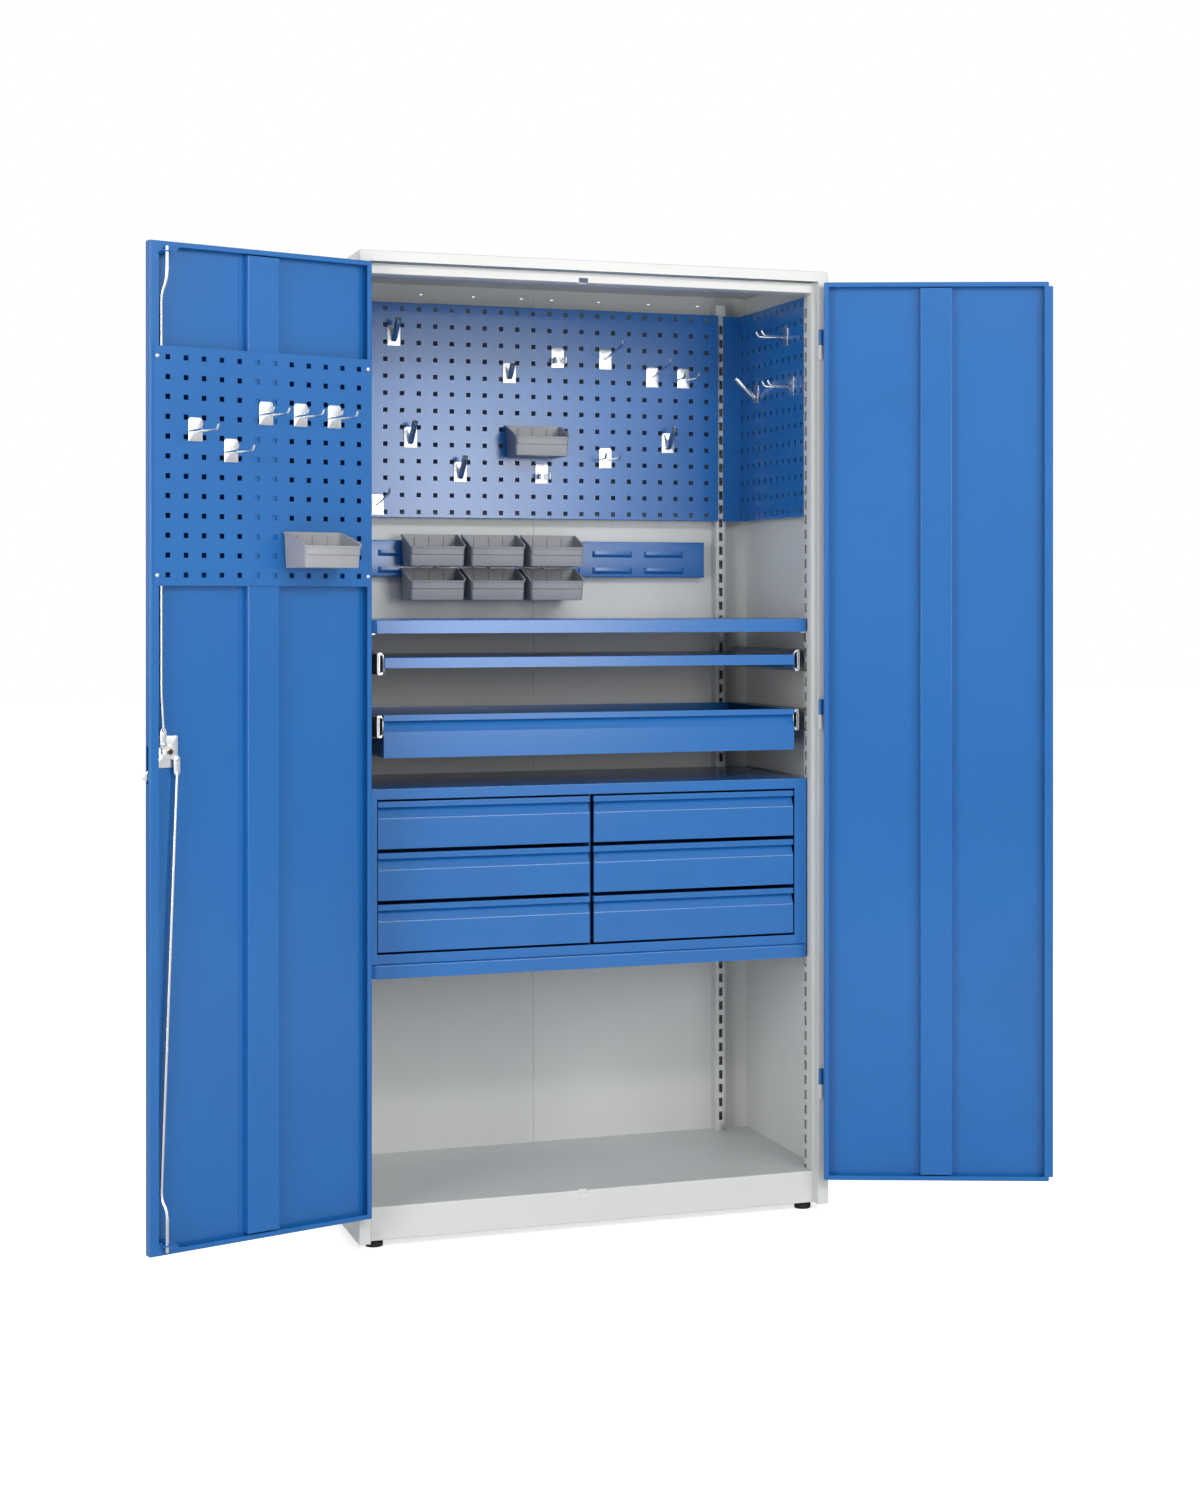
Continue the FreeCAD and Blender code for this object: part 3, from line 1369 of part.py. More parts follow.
def make_hinges():
    """Lift-off hinges: a door knuckle turns on a pin held by the knuckle on the post."""
    post_knuckles, pins = [], []
    for side, sign in (("left", "-1"), ("right", "1")):
        knuckles = []
        x = "%s * %s" % (sign, pin_x)
        y = "-pin_forward"
        for count in range(hinge_count):
            split = "(%s + lowest_hinge + hinge_spacing * (%d))" % (door_low, count)
            low = "%s - post_knuckle" % split
            barrel = cylinder("z", x, y, low, "knuckle_diameter", "post_knuckle")
            bore = cylinder("z", x, y, "%s - overrun" % low, "pin_diameter", "post_knuckle + 2 * overrun")
            inner, outer = "%s - knuckle_clearance" % pin_x, "%s + leaf_plate" % pin_x
            edges = (inner, outer) if sign == "1" else (minus(outer), minus(inner))
            plate = box(edges[0], edges[1], "-leaf_sheet", "0", low, split)
            post_knuckles.append(cut(fuse(barrel, plate), bore))
            pins.append(cylinder("z", x, y, low, "pin_diameter", "post_knuckle + door_knuckle - leaf_sheet"))
            start = "%s + knuckle_clearance" % split
            tall = "door_knuckle - knuckle_clearance"
            barrel = cylinder("z", x, y, start, "knuckle_diameter", tall)
            bore = cylinder("z", x, y, "%s - overrun" % start, "pin_diameter + 2 * pin_clearance",
                            "door_knuckle - leaf_sheet + overrun")
            near, far = door_outer_edge, "%s + leaf_sheet" % door_outer_edge
            front = "-pin_forward - knuckle_diameter / 2"
            leaf = (near, far) if sign == "1" else (minus(far), minus(near))
            bridge = (near, pin_x) if sign == "1" else (minus(pin_x), minus(near))
            high = "%s + door_knuckle" % split
            leaf_box = box(leaf[0], leaf[1], front, "leaf_depth", start, high)
            bridge_box = box(bridge[0], bridge[1], front, "%s + leaf_sheet" % front, start, high)
            knuckles.append(cut(fuse(barrel, leaf_box, bridge_box), bore))
        keep("%s_door_knuckles" % side, group(*knuckles), side)
    keep("post_hinges", group(*(post_knuckles + pins)))


def make_door_panel():
    """The flat perforated sheet on the left door, and its four screws."""
    body = new_body("door_peg_panel")
    pad(body, "XZ", [rectangle(door_panel_left, door_panel_right, door_panel_low, door_panel_high)],
        "door_depth", "door_depth + panel_sheet")
    pocket(body, "XZ", [], "door_depth - overrun", "door_depth + panel_sheet + overrun", panel_screw_holes)
    first = square_at(door_panel_first, "%s + door_panel_end" % door_panel_low)
    hole = pocket(body, "XZ", [first], "door_depth - overrun", "door_depth + panel_sheet + overrun")
    repeat(body, hole, "H_Axis", "hole_pitch", door_panel_columns, ("V_Axis", "hole_pitch", door_panel_rows))
    keep("door_peg_panel", body, "left")
    screws = []
    for x in panel_screw_x:
        for z in panel_screw_z:
            face = "door_depth + panel_sheet"
            head = cylinder("y", x, face, z, "screw_head", "screw_head_height")
            shank = cylinder("y", x, "%s - screw_length" % face, z, "screw_shank", "screw_length")
            screws.append(fuse(head, shank))
    keep("panel_screws", group(*screws), "left")


# Lock
def make_lock():
    """The lock on the left door: case, escutcheon, handle, arm, cam and nut on one spindle."""
    x, z = minus(lock_x), lock_z
    case = box("%s - lock_case_width / 2" % x, "%s + lock_case_width / 2" % x, "door_sheet",
               "door_sheet + lock_case_depth", "%s - lock_case_height / 2" % z, "%s + lock_case_height / 2" % z)
    wide_bore = "spindle_diameter + 2 * spindle_clearance"
    hole = cylinder("y", x, "-overrun", z, wide_bore, "lock_case_depth + 3 * overrun")
    keep("lock_case", cut(case, hole), "left")
    shield = box("%s - escutcheon_width / 2" % x, "%s + escutcheon_width / 2" % x, "-escutcheon_depth", "0",
                 "%s - 2 * escutcheon_height / 3" % z, "%s + escutcheon_height / 3" % z)
    hole = cylinder("y", x, "-escutcheon_depth - overrun", z, wide_bore, "escutcheon_depth + 2 * overrun")
    keep("lock_escutcheon", cut(shield, hole), "left")
    grip_front = "(-escutcheon_depth - handle_stand - handle_depth)"
    boss_front = "(-escutcheon_depth - handle_stand)"
    grip = box("%s - handle_width / 2" % x, "%s + handle_width / 2" % x, grip_front,
               "%s + handle_depth" % grip_front, "%s - handle_length" % z, z)
    crown = cylinder("y", x, grip_front, z, "handle_boss", "handle_depth")
    boss = cylinder("y", x, boss_front, z, "handle_width", "handle_stand - slide_clearance")
    reach = "%s + cam_sheet + hub_nut_height" % cam_front
    spindle = cylinder("y", x, boss_front, z, "spindle_diameter", "%s - %s" % (reach, boss_front))
    well = cylinder("y", x, "%s - overrun" % grip_front, z,
                    "cylinder_diameter + 2 * spindle_clearance", "cylinder_depth + overrun")
    handle = cut(fuse(grip, crown, boss, spindle), well)
    tilted(handle, "lock_handle", x, z)
    barrel = cylinder("y", x, grip_front, z, "cylinder_diameter", "cylinder_depth")
    slot = box("%s - keyway_width / 2" % x, "%s + keyway_width / 2" % x, "%s - overrun" % grip_front,
               "%s + cylinder_depth / 2" % grip_front, "%s - keyway_height / 2" % z, "%s + keyway_height / 2" % z)
    tilted(cut(barrel, slot), "lock_cylinder", x, z)
    arm_back = "%s + arm_sheet" % arm_front
    blade = box(x, "%s + arm_reach" % x, arm_front, arm_back, "%s - arm_width / 2" % z, "%s + arm_width / 2" % z)
    arm = fuse(blade, cylinder("y", x, arm_front, z, "2 * cam_hub", "arm_sheet"))
    bore = cylinder("y", x, "%s - overrun" % arm_front, z, "spindle_diameter", "3 * overrun")
    tilted(cut(arm, bore), "latch_arm", x, z)
    plate = fuse(
        cylinder("y", x, cam_front, z, "2 * cam_hub", "cam_sheet"),
        cylinder("y", x, cam_front, "%s + cam_radius" % z, "2 * cam_lobe", "cam_sheet"),
        cylinder("y", x, cam_front, "%s - cam_radius" % z, "2 * cam_lobe", "cam_sheet"),
        box("%s - cam_lobe" % x, "%s + cam_lobe" % x, cam_front, "%s + cam_sheet" % cam_front,
            "%s - cam_radius" % z, "%s + cam_radius" % z),
    )
    bore = cylinder("y", x, "%s - overrun" % cam_front, z, "spindle_diameter", "cam_sheet + 2 * overrun")
    tilted(cut(plate, bore), "lock_cam", x, z)
    nut = cylinder("y", x, "%s + cam_sheet" % cam_front, z, "hub_nut_diameter", "hub_nut_height")
    bore = cylinder("y", x, "%s + cam_sheet - overrun" % cam_front, z, "spindle_diameter",
                    "hub_nut_height + 2 * overrun")
    tilted(cut(nut, bore), "hub_nut", x, z)


def tilted(piece, label, x, z):
    """Turn a piece about the lock spindle to its resting angle, then hang it on the door."""
    angle = "arm_rest_angle"
    piece.Placement.Rotation = Rotation(Vector(0, 1, 0), number(angle))
    piece.setExpression("Placement.Rotation.Angle", bound(angle))
    piece.setExpression("Placement.Base.x", bound("%s - (%s) * cos(%s) - %s * sin(%s)" % (x, x, angle, z, angle)))
    piece.setExpression("Placement.Base.z", bound("%s + (%s) * sin(%s) - %s * cos(%s)" % (z, x, angle, z, angle)))
    keep(label, group(piece), "left")


def rod_shape(points, radii):
    """A round rod through points, with a ball at each bend."""
    pieces = []
    for i in range(len(points) - 1):
        pieces.append(bar_between(points[i], points[i + 1], radii[i]))
        if i:
            pieces.append(Part.makeSphere(min(radii[i - 1], radii[i]), points[i]))
    return pieces


def make_rods():
    """The upper and lower rods: a flat tab at the cam, a round rod, a jog and a straight end."""
    free = number(minus(door_free_edge))
    z, x = number(lock_z), number(minus(lock_x))
    swing = number("cam_radius") * math.sin(math.radians(number("arm_rest_angle")))
    y = number("%s + tab_sheet" % tab_front)
    out = number("door_depth + rod_end_out")
    run_x, end_x = free - number("rod_run_setback"), free - number("rod_end_setback")
    radius, end_radius = number("rod_diameter") / 2, number("rod_end_diameter") / 2
    tab, thick = number("tab_width"), number("tab_sheet")
    length = number("tab_length")
    levels = {
        1: (number("%s - upper_jog" % door_high), number("upper_jog_height"),
            number("%s - upper_rod_stop" % door_high)),
        -1: (number("%s + lower_jog" % door_low) + number("lower_jog_height"), number("lower_jog_height"),
             number("%s + lower_rod_stop" % door_low)),
    }
    for label, way in (("upper_rod", 1), ("lower_rod", -1)):
        pin = Vector(x + way * swing, y - thick, z + way * swing)
        jog, jog_height, stop = levels[way]
        strip = Part.makeBox(tab, thick, length, Vector(pin.x - tab / 2, pin.y, min(pin.z, pin.z + way * length)))
        disc = Part.makeCylinder(tab / 2, thick, pin, Vector(0, 1, 0))
        rivet = Part.makeCylinder(number("rivet_diameter") / 2, number("rivet_height"),
                                  Vector(pin.x, pin.y + thick, pin.z), Vector(0, 1, 0))
        points = [
            Vector(pin.x, y, pin.z + way * (length - radius)),
            Vector(run_x, y, pin.z + way * 3 * length) if way > 0 else None,
            Vector(run_x, y, jog),
            Vector(end_x, out, jog + way * jog_height),
            Vector(end_x, out, stop),
        ]
        points = [point for point in points if point is not None]
        radii = [radius] * (len(points) - 2) + [end_radius]
        rod = doc.addObject("Part::Feature", label)
        rod.Shape = strip.fuse([disc, rivet] + rod_shape(points, radii)).removeSplitter()
        keep(label, rod, "left")


def make_guides():
    """Angle guides on the corner gussets that the rod ends slide through."""
    x = "-(%s + rod_end_setback)" % door_free_edge
    y = "door_depth + rod_end_out"
    guides = []
    for low in ("%s + door_lip + gusset_height - guide_drop - guide_sheet" % door_low,
                "%s - door_lip - gusset_height + guide_drop" % door_high):
        block = box("%s - guide_width / 2" % x, "%s + guide_width / 2" % x, "door_depth",
                    "%s + rod_end_diameter / 2 + guide_wall" % y, low, "%s + guide_sheet" % low)
        bore = cylinder("z", x, y, "%s - overrun" % low, "rod_end_diameter + 2 * guide_clearance",
                        "guide_sheet + 2 * overrun")
        guides.append(cut(block, bore))
    keep("rod_guides", group(*guides), "left")


# Build
make_side("left_side", "-1")
make_side("right_side", "1")
make_upright("left_rear_upright", "-1")
make_upright("right_rear_upright", "1")
make_back()
make_cover()
make_header()
make_base()
make_feet()
make_back_panel()
make_side_panel("left_peg_panel", "-1")
make_side_panel("right_peg_panel", "1")
make_louvre_rail()
make_bins()
make_hooks()
make_shelf("upper_shelf", "upper_shelf_top")
make_shelf("base_shelf", "base_shelf_top")
make_clips()
pullout_outer, pullout_brackets = make_slides("pullout", "pullout_setback", "pullout_depth", "pullout_slide_level")
wide_outer, wide_brackets = make_slides("wide", "wide_setback", "wide_depth", "wide_slide_level")
keep("slide_outer_rails", group(*(pullout_outer + wide_outer)))
keep("slide_brackets", group(*(pullout_brackets + wide_brackets)))
make_pullout()
make_wide_drawer()
make_unit()
make_unit_drawers()
for door_side in ("left", "right"):
    make_door_pan(door_side)
    make_stiffener(door_side)
make_meeting_strip()
make_hinges()
make_door_panel()
make_lock()
make_rods()
make_guides()
doc.recompute()

# Check every object, then write one STEP file for each node
for item in doc.Objects:
    if "Invalid" in item.State or "Error" in item.State:
        raise RuntimeError("%s failed: %s" % (item.Label, item.State))
os.makedirs("parts", exist_ok=True)
for label, piece in nodes.items():
    shape = piece.Shape
    if shape.isNull() or not shape.isValid() or not shape.Solids:
        raise RuntimeError("%s has no valid solid" % label)
    shape.exportStep(os.path.join("parts", label + ".step"))
    print("%-24s %2d solids  %10.0f mm3" % (label, len(shape.Solids), shape.Volume))
print("%d nodes" % len(nodes))
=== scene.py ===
# Looks of a steel tool cabinet: powder-coated sheet, zinc hooks, moulded bins, slides and a rod lock.
import json
import math

import bmesh
import bpy
import numpy as np
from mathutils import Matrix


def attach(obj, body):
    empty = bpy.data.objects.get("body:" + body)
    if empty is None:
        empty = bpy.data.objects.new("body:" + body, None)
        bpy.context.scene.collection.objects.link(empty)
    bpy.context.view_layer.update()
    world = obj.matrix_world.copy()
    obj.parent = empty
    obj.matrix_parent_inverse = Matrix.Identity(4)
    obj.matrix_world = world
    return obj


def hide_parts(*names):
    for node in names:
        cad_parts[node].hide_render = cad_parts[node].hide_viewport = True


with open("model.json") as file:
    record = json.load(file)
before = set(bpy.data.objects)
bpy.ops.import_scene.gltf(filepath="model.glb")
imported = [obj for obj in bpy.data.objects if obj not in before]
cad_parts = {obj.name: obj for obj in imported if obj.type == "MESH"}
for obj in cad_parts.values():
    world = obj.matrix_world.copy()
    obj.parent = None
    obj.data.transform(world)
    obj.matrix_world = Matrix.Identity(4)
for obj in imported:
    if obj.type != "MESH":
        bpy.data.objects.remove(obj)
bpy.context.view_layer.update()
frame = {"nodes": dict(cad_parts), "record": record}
nodes = frame["nodes"]
slotOfNode = {part["node"]: part["material_slot"] for part in frame["record"]["subparts"]}
print("frame loaded:", len(nodes), "nodes")


# Finishes

def linearColour(hexText):
    # sRGB to linear: v / 12.92 below 0.04045, else ((v + 0.055) / 1.055) to the power 2.4
    srgb = np.array([int(hexText[i:i + 2], 16) for i in (1, 3, 5)]) / 255
    linear = np.where(srgb <= 0.04045, srgb / 12.92, ((srgb + 0.055) / 1.055) ** 2.4)
    return tuple(linear.tolist()) + (1.0,)


def perMillimetre(size):
    # the scale of a texture on coordinates in metres whose features are so many millimetres wide
    return 1000 / size


def addNode(tree, kind, settings=None, values=None, links=None):
    node = tree.nodes.new(kind)
    for name, value in (settings or {}).items():
        setattr(node, name, value)
    for socket, value in (values or {}).items():
        node.inputs[socket].default_value = value
    for socket, source in (links or {}).items():
        tree.links.new(source, node.inputs[socket])
    return node


def clearedTree(owner):
    owner.use_nodes = True
    owner.node_tree.nodes.clear()
    return owner.node_tree


def newFinish(name):
    finish = bpy.data.materials.new(name)
    tree = clearedTree(finish)
    shader = addNode(tree, "ShaderNodeBsdfPrincipled")
    addNode(tree, "ShaderNodeOutputMaterial", links={"Surface": shader.outputs["BSDF"]})
    place = addNode(tree, "ShaderNodeTexCoord").outputs["Object"]
    return finish, tree, shader, place


def clouded(tree, shader, place, look, size, swing=None):
    # soft clouds of a size in millimetres mix two near colours, and add a swing to the roughness or take it
    cloud = addNode(tree, "ShaderNodeTexNoise", values={"Scale": perMillimetre(size), "Detail": 3.0},
                    links={"Vector": place}).outputs["Fac"]
    colour = addNode(tree, "ShaderNodeMix", {"data_type": "RGBA"},
                     {6: linearColour(look["light"]), 7: linearColour(look["dark"])}, {0: cloud})
    tree.links.new(colour.outputs[2], shader.inputs["Base Color"])
    if swing is not None:
        ends = {"To Min": look["rough"] - swing, "To Max": look["rough"] + swing}
        gloss = addNode(tree, "ShaderNodeMapRange", values=ends, links={"Value": cloud})
        tree.links.new(gloss.outputs["Result"], shader.inputs["Roughness"])


def fineBump(tree, shader, place, size, detail, strength, depth):
    # width and depth of the grain in millimetres
    grain = addNode(tree, "ShaderNodeTexNoise", values={"Scale": perMillimetre(size), "Detail": detail},
                    links={"Vector": place})
    bump = addNode(tree, "ShaderNodeBump", values={"Strength": strength, "Distance": depth / 1000},
                   links={"Height": grain.outputs["Fac"]})
    tree.links.new(bump.outputs["Normal"], shader.inputs["Normal"])


# Polyester powder coat on steel: an even satin film with a faint orange peel, a little cloudy in colour
powderCoats = {
    "bluePowderCoat": {"light": "#216bb1", "dark": "#1b61a5", "rough": 0.20, "peelDepth": 0.02},
    "greyPowderCoat": {"light": "#d8d9d6", "dark": "#cecfcc", "rough": 0.38, "peelDepth": 0.04},
}
coatCloud, coatSwing = 260, 0.02  # millimetres across a cloud, and the roughness it adds or takes
peelWidth, peelStrength = 3.0, 0.25  # real orange peel is about 1 mm wide; it is drawn wider to show at all


def powderCoat(name):
    look = powderCoats[name]
    finish, tree, shader, place = newFinish(name)
    clouded(tree, shader, place, look, coatCloud, coatSwing)
    fineBump(tree, shader, place, peelWidth, 2.0, peelStrength, look["peelDepth"])
    return finish


# Zinc plate, galvanised steel and turned brass: bright metal, a little cloudy in its colour and its gloss
metals = {
    "zincPlate": {"light": "#e2e5e9", "dark": "#cdd1d6", "rough": 0.28, "cloud": 30},
    "galvanisedSlide": {"light": "#dfe1e3", "dark": "#c3c6c9", "rough": 0.30, "cloud": 22},
    "turnedBrass": {"light": "#c9a25c", "dark": "#a98245", "rough": 0.26, "cloud": 8},
}
metalSwing = 0.06  # the roughness that a cloud adds or takes


def metal(name):
    look = metals[name]
    finish, tree, shader, place = newFinish(name)
    shader.inputs["Metallic"].default_value = 1.0
    clouded(tree, shader, place, look, look["cloud"], metalSwing)
    return finish


# Moulded polypropylene and nylon, black enamel and rubber: even colour with a fine moulded grain
mouldings = {
    "greyPolypropylene": {"light": "#a3a4a8", "dark": "#97989c", "rough": 0.48, "grain": 1.2, "depth": 0.05},
    "blackNylon": {"light": "#1d1e20", "dark": "#141517", "rough": 0.42, "grain": 0.9, "depth": 0.04},
    "blackEnamel": {"light": "#1c1d20", "dark": "#121316", "rough": 0.33, "grain": 2.0, "depth": 0.02},
    "blackRubber": {"light": "#1b1b1b", "dark": "#111111", "rough": 0.80, "grain": 1.5, "depth": 0.10},
}
mouldedCloud, grainStrength = 45, 0.3


def moulding(name):
    look = mouldings[name]
    finish, tree, shader, place = newFinish(name)
    shader.inputs["Roughness"].default_value = look["rough"]
    clouded(tree, shader, place, look, mouldedCloud)
    fineBump(tree, shader, place, look["grain"], 1.0, grainStrength, look["depth"])
    return finish


finishOfSlot = {
    "grey_body": powderCoat("greyPowderCoat"),
    "blue_coat": powderCoat("bluePowderCoat"),
    "zinc": metal("zincPlate"),
    "black_steel": moulding("blackEnamel"),
    "grey_plastic": moulding("greyPolypropylene"),
    "black_plastic": moulding("blackNylon"),
    "black_rubber": moulding("blackRubber"),
    "brass": metal("turnedBrass"),
}
slideFinish = metal("galvanisedSlide")
bodyOfNode = {}
for body, names in frame["record"]["behaviour"]["bodies"].items():
    bodyOfNode.update({node: body for node in names})
for name, node in nodes.items():
    node.data.materials.clear()
    node.data.materials.append(finishOfSlot[slotOfNode[name]])
print("finishes made:", len(bpy.data.materials))


# Places: everything is worked out in millimetres with the doors shut and the cabinet's front plane at Y 0

setback = 154.0  # the part's origin lies this far behind the front plane
hingePin = (-495.0, -4.5, -161.3)  # the left door's: X, Y, resting angle
leftDoorBodies = ("left_door", "lock", "key_cylinder", "upper_rod", "lower_rod")


def placed(points, body):
    # the left door's points turn about its pin by the resting angle; all then move back and become metres
    points = np.array(points, float)
    if body in leftDoorBodies:
        pinX, pinY, degrees = hingePin
        turn = math.radians(degrees)
        awayX = points[..., 0] - pinX
        awayY = points[..., 1] - pinY
        points[..., 0] = pinX + awayX * math.cos(turn) - awayY * math.sin(turn)
        points[..., 1] = pinY + awayX * math.sin(turn) + awayY * math.cos(turn)
    points[..., 1] -= setback
    return points / 1000


def turned(points, degrees, axis="z", centre=(0.0, 0.0, 0.0)):
    # right-handed turn about an axis through a centre
    first, second = {"x": (1, 2), "y": (2, 0), "z": (0, 1)}[axis]
    away = np.array(points, float) - centre
    cosine, sine = math.cos(math.radians(degrees)), math.sin(math.radians(degrees))
    result = away.copy()
    result[..., first] = away[..., first] * cosine - away[..., second] * sine
    result[..., second] = away[..., first] * sine + away[..., second] * cosine
    return result + centre


# Surfaces: each is (points over rows and columns, rows closed on themselves, columns closed on themselves)

def surface(points, wrapRows=False, wrapColumns=False):
    return np.array(points, float), wrapRows, wrapColumns


def moved(surfaces, place, degrees=0.0):
    # copies of local surfaces, turned about Z and carried to a place
    return [(turned(points, degrees) + place, rows, columns) for points, rows, columns in surfaces]


def quadsOf(points, wrapRows, wrapColumns, offset):
    rows, columns = points.shape[:2]
    index = np.arange(rows * columns).reshape(rows, columns) + offset
    if wrapRows:
        index = np.vstack([index, index[:1]])
    if wrapColumns:
        index = np.hstack([index, index[:, :1]])
    corners = [index[:-1, :-1], index[:-1, 1:], index[1:, 1:], index[1:, :-1]]
    return np.stack(corners, axis=-1).reshape(-1, 4)


weldReach, leastEdge = 2e-6, 1e-6  # metres


def finishMesh(mesh, sharpAngle):
    # weld the grids, turn the faces outwards, and shade smoothly except across sharp edges
    shell = bmesh.new()
    shell.from_mesh(mesh)
    bmesh.ops.remove_doubles(shell, verts=shell.verts, dist=weldReach)
    bmesh.ops.dissolve_degenerate(shell, dist=leastEdge, edges=shell.edges)
    bmesh.ops.recalc_face_normals(shell, faces=shell.faces)
    for face in shell.faces:
        face.smooth = True
    for edge in shell.edges:
        edge.smooth = edge.calc_face_angle(0.0) < math.radians(sharpAngle)
    shell.to_mesh(mesh)
    shell.free()


def inScene(name, data):
    thing = bpy.data.objects.new(name, data)
    bpy.context.scene.collection.objects.link(thing)
    return thing


def makePiece(name, surfaces, slot, body, stands=(), sharpAngle=40, finish=None):
    # one mesh from all the surfaces, which rides a body and stands for the nodes that it replaces
    blocks, quads, offset = [], [], 0
    for points, wrapRows, wrapColumns in surfaces:
        quads.append(quadsOf(points, wrapRows, wrapColumns, offset))
        blocks.append(points.reshape(-1, 3))
        offset += points.shape[0] * points.shape[1]
    mesh = bpy.data.meshes.new(name)
    mesh.from_pydata(placed(np.vstack(blocks), body).tolist(), [], np.vstack(quads).tolist())
    finishMesh(mesh, sharpAngle)
    mesh.materials.append(finish or finishOfSlot[slot])
    piece = inScene(name, mesh)
    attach(piece, body)
    if stands:
        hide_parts(*stands)


def fullTurn(steps):
    return np.linspace(0, 2 * math.pi, steps, endpoint=False)


def circlePoints(angle):
    # points of the circle of radius 1 at angles in radians
    return np.stack([np.cos(angle), np.sin(angle)], axis=-1)


def unit(vectors):
    # the same directions, each of length 1
    return vectors / np.linalg.norm(vectors, axis=-1, keepdims=True)


def roundedRectangle(width, depth, radius, steps=5):
    # four quarter circles about centres that lie a radius inside the corners, counter-clockwise
    angles = np.radians(np.linspace(0, 90, steps))
    loops = []
    for turn, (signX, signY) in enumerate([(1, 1), (-1, 1), (-1, -1), (1, -1)]):
        centre = (signX * (width / 2 - radius), signY * (depth / 2 - radius))
        loops.append(centre + radius * circlePoints(angles + turn * math.pi / 2))
    return np.vstack(loops)


def plate(outline, thickness, edge, lift, hole=None):
    # rows run from the middle, or a hole, of one face over a small round edge to that of the other
    middle = (outline.min(axis=0) + outline.max(axis=0)) / 2
    start = np.repeat(middle[None], len(outline), axis=0) if hole is None else hole
    half = (outline.max(axis=0) - outline.min(axis=0)) / 2
    steps = np.radians([0, 30, 60, 90])
    insets = [*(edge * (1 - np.sin(steps))), *(edge * (1 - np.cos(steps)))]
    levels = [*(edge * (1 - np.cos(steps))), *(thickness - edge * (1 - np.sin(steps)))]
    rows = [lift(start, 0.0)]
    for inset, level in zip(insets, levels):
        rows.append(lift(middle + (outline - middle) * (1 - inset / half), level))
    rows.append(lift(start, thickness))
    return surface(rows, wrapRows=hole is not None, wrapColumns=True)


def frontPlate(outline, thickness, edge, back, hole=None):
    # a plate in the XZ plane whose back lies at a place on Y
    return plate(outline, thickness, edge, lambda flat, level: np.stack(
        [flat[:, 0], np.full(len(flat), back - level), flat[:, 1]], axis=-1), hole)


def roundedPath(corners, radius, steps=6):
    # each corner gives way to a parabola between points that lie a radius before and after it
    corners = [np.array(corner, float) for corner in corners]
    path = [corners[0]]
    share = np.linspace(0, 1, steps)[:, None]
    for before, corner, after in zip(corners, corners[1:], corners[2:]):
        inward, outward = before - corner, after - corner
        start = corner + inward * min(0.5, radius / np.linalg.norm(inward))
        end = corner + outward * min(0.5, radius / np.linalg.norm(outward))
        path += list((1 - share) ** 2 * start + 2 * share * (1 - share) * corner + share ** 2 * end)
    return np.array(path + [corners[-1]])


def tube(path, radius, reference, sides=12, domed=True):
    # circles across a path; the ends close in a quarter circle of the same radius
    path = np.array(path, float)
    radii = np.broadcast_to(np.array(radius, float), (len(path),)).copy()
    along = unit(np.gradient(path, axis=0))
    if domed:
        arc = np.radians([90, 60, 30])
        first = path[0] + along[0] * radii[0] * (1 - np.sin(arc))[:, None]
        last = path[-1] - along[-1] * radii[-1] * (1 - np.sin(arc[::-1]))[:, None]
        path = np.vstack([first, path[1:-1], last])
        along = np.vstack([np.repeat(along[:1], 3, axis=0), along[1:-1], np.repeat(along[-1:], 3, axis=0)])
        radii = np.hstack([radii[0] * np.cos(arc), radii[1:-1], radii[-1] * np.cos(arc[::-1])])
    else:
        path = np.vstack([path[:1], path, path[-1:]])
        along = np.vstack([along[:1], along, along[-1:]])
        radii = np.hstack([0.0, radii, 0.0])
    sideways = unit(np.cross(along, np.array(reference, float)))
    upward = np.cross(sideways, along)
    angle = fullTurn(sides)[None, :, None]
    ring = np.cos(angle) * sideways[:, None] + np.sin(angle) * upward[:, None]
    return surface(path[:, None] + ring * radii[:, None, None], wrapColumns=True)


def sleeve(start, along, length, outer, inner, reference, sides=20):
    # an open tube: outer wall, rounded rim, inner wall, rounded rim, closed on itself
    along = unit(np.array(along, float))
    lip = (outer - inner) / 2
    middle = (outer + inner) / 2
    arc = np.radians([0, 45, 90, 135, 180])
    reach = np.hstack([length - lip + lip * np.sin(arc), lip - lip * np.sin(arc)])
    radii = np.hstack([middle + lip * np.cos(arc), middle - lip * np.cos(arc)])
    sideways = unit(np.cross(along, reference))
    upward = np.cross(sideways, along)
    angle = fullTurn(sides)[:, None]
    ring = np.cos(angle) * sideways + np.sin(angle) * upward
    rows = np.array(start) + along * reach[:, None, None] + ring[None] * radii[:, None, None]
    return surface(rows, wrapRows=True, wrapColumns=True)


def lathe(profile, centre, axis="z", sides=32):
    # a profile of (radius, height) turned about an axis; a radius of nothing closes an end
    profile = np.array(profile, float)
    across = profile[:, :1, None] * circlePoints(fullTurn(sides))[None]
    level = np.repeat(profile[:, 1:2], sides, axis=1)[..., None]
    order = {"z": (0, 1, 2), "y": (0, 2, 1), "x": (2, 0, 1)}[axis]
    rows = np.concatenate([across, level], axis=-1)[..., list(order)]
    return surface(rows + np.array(centre, float), wrapColumns=True)


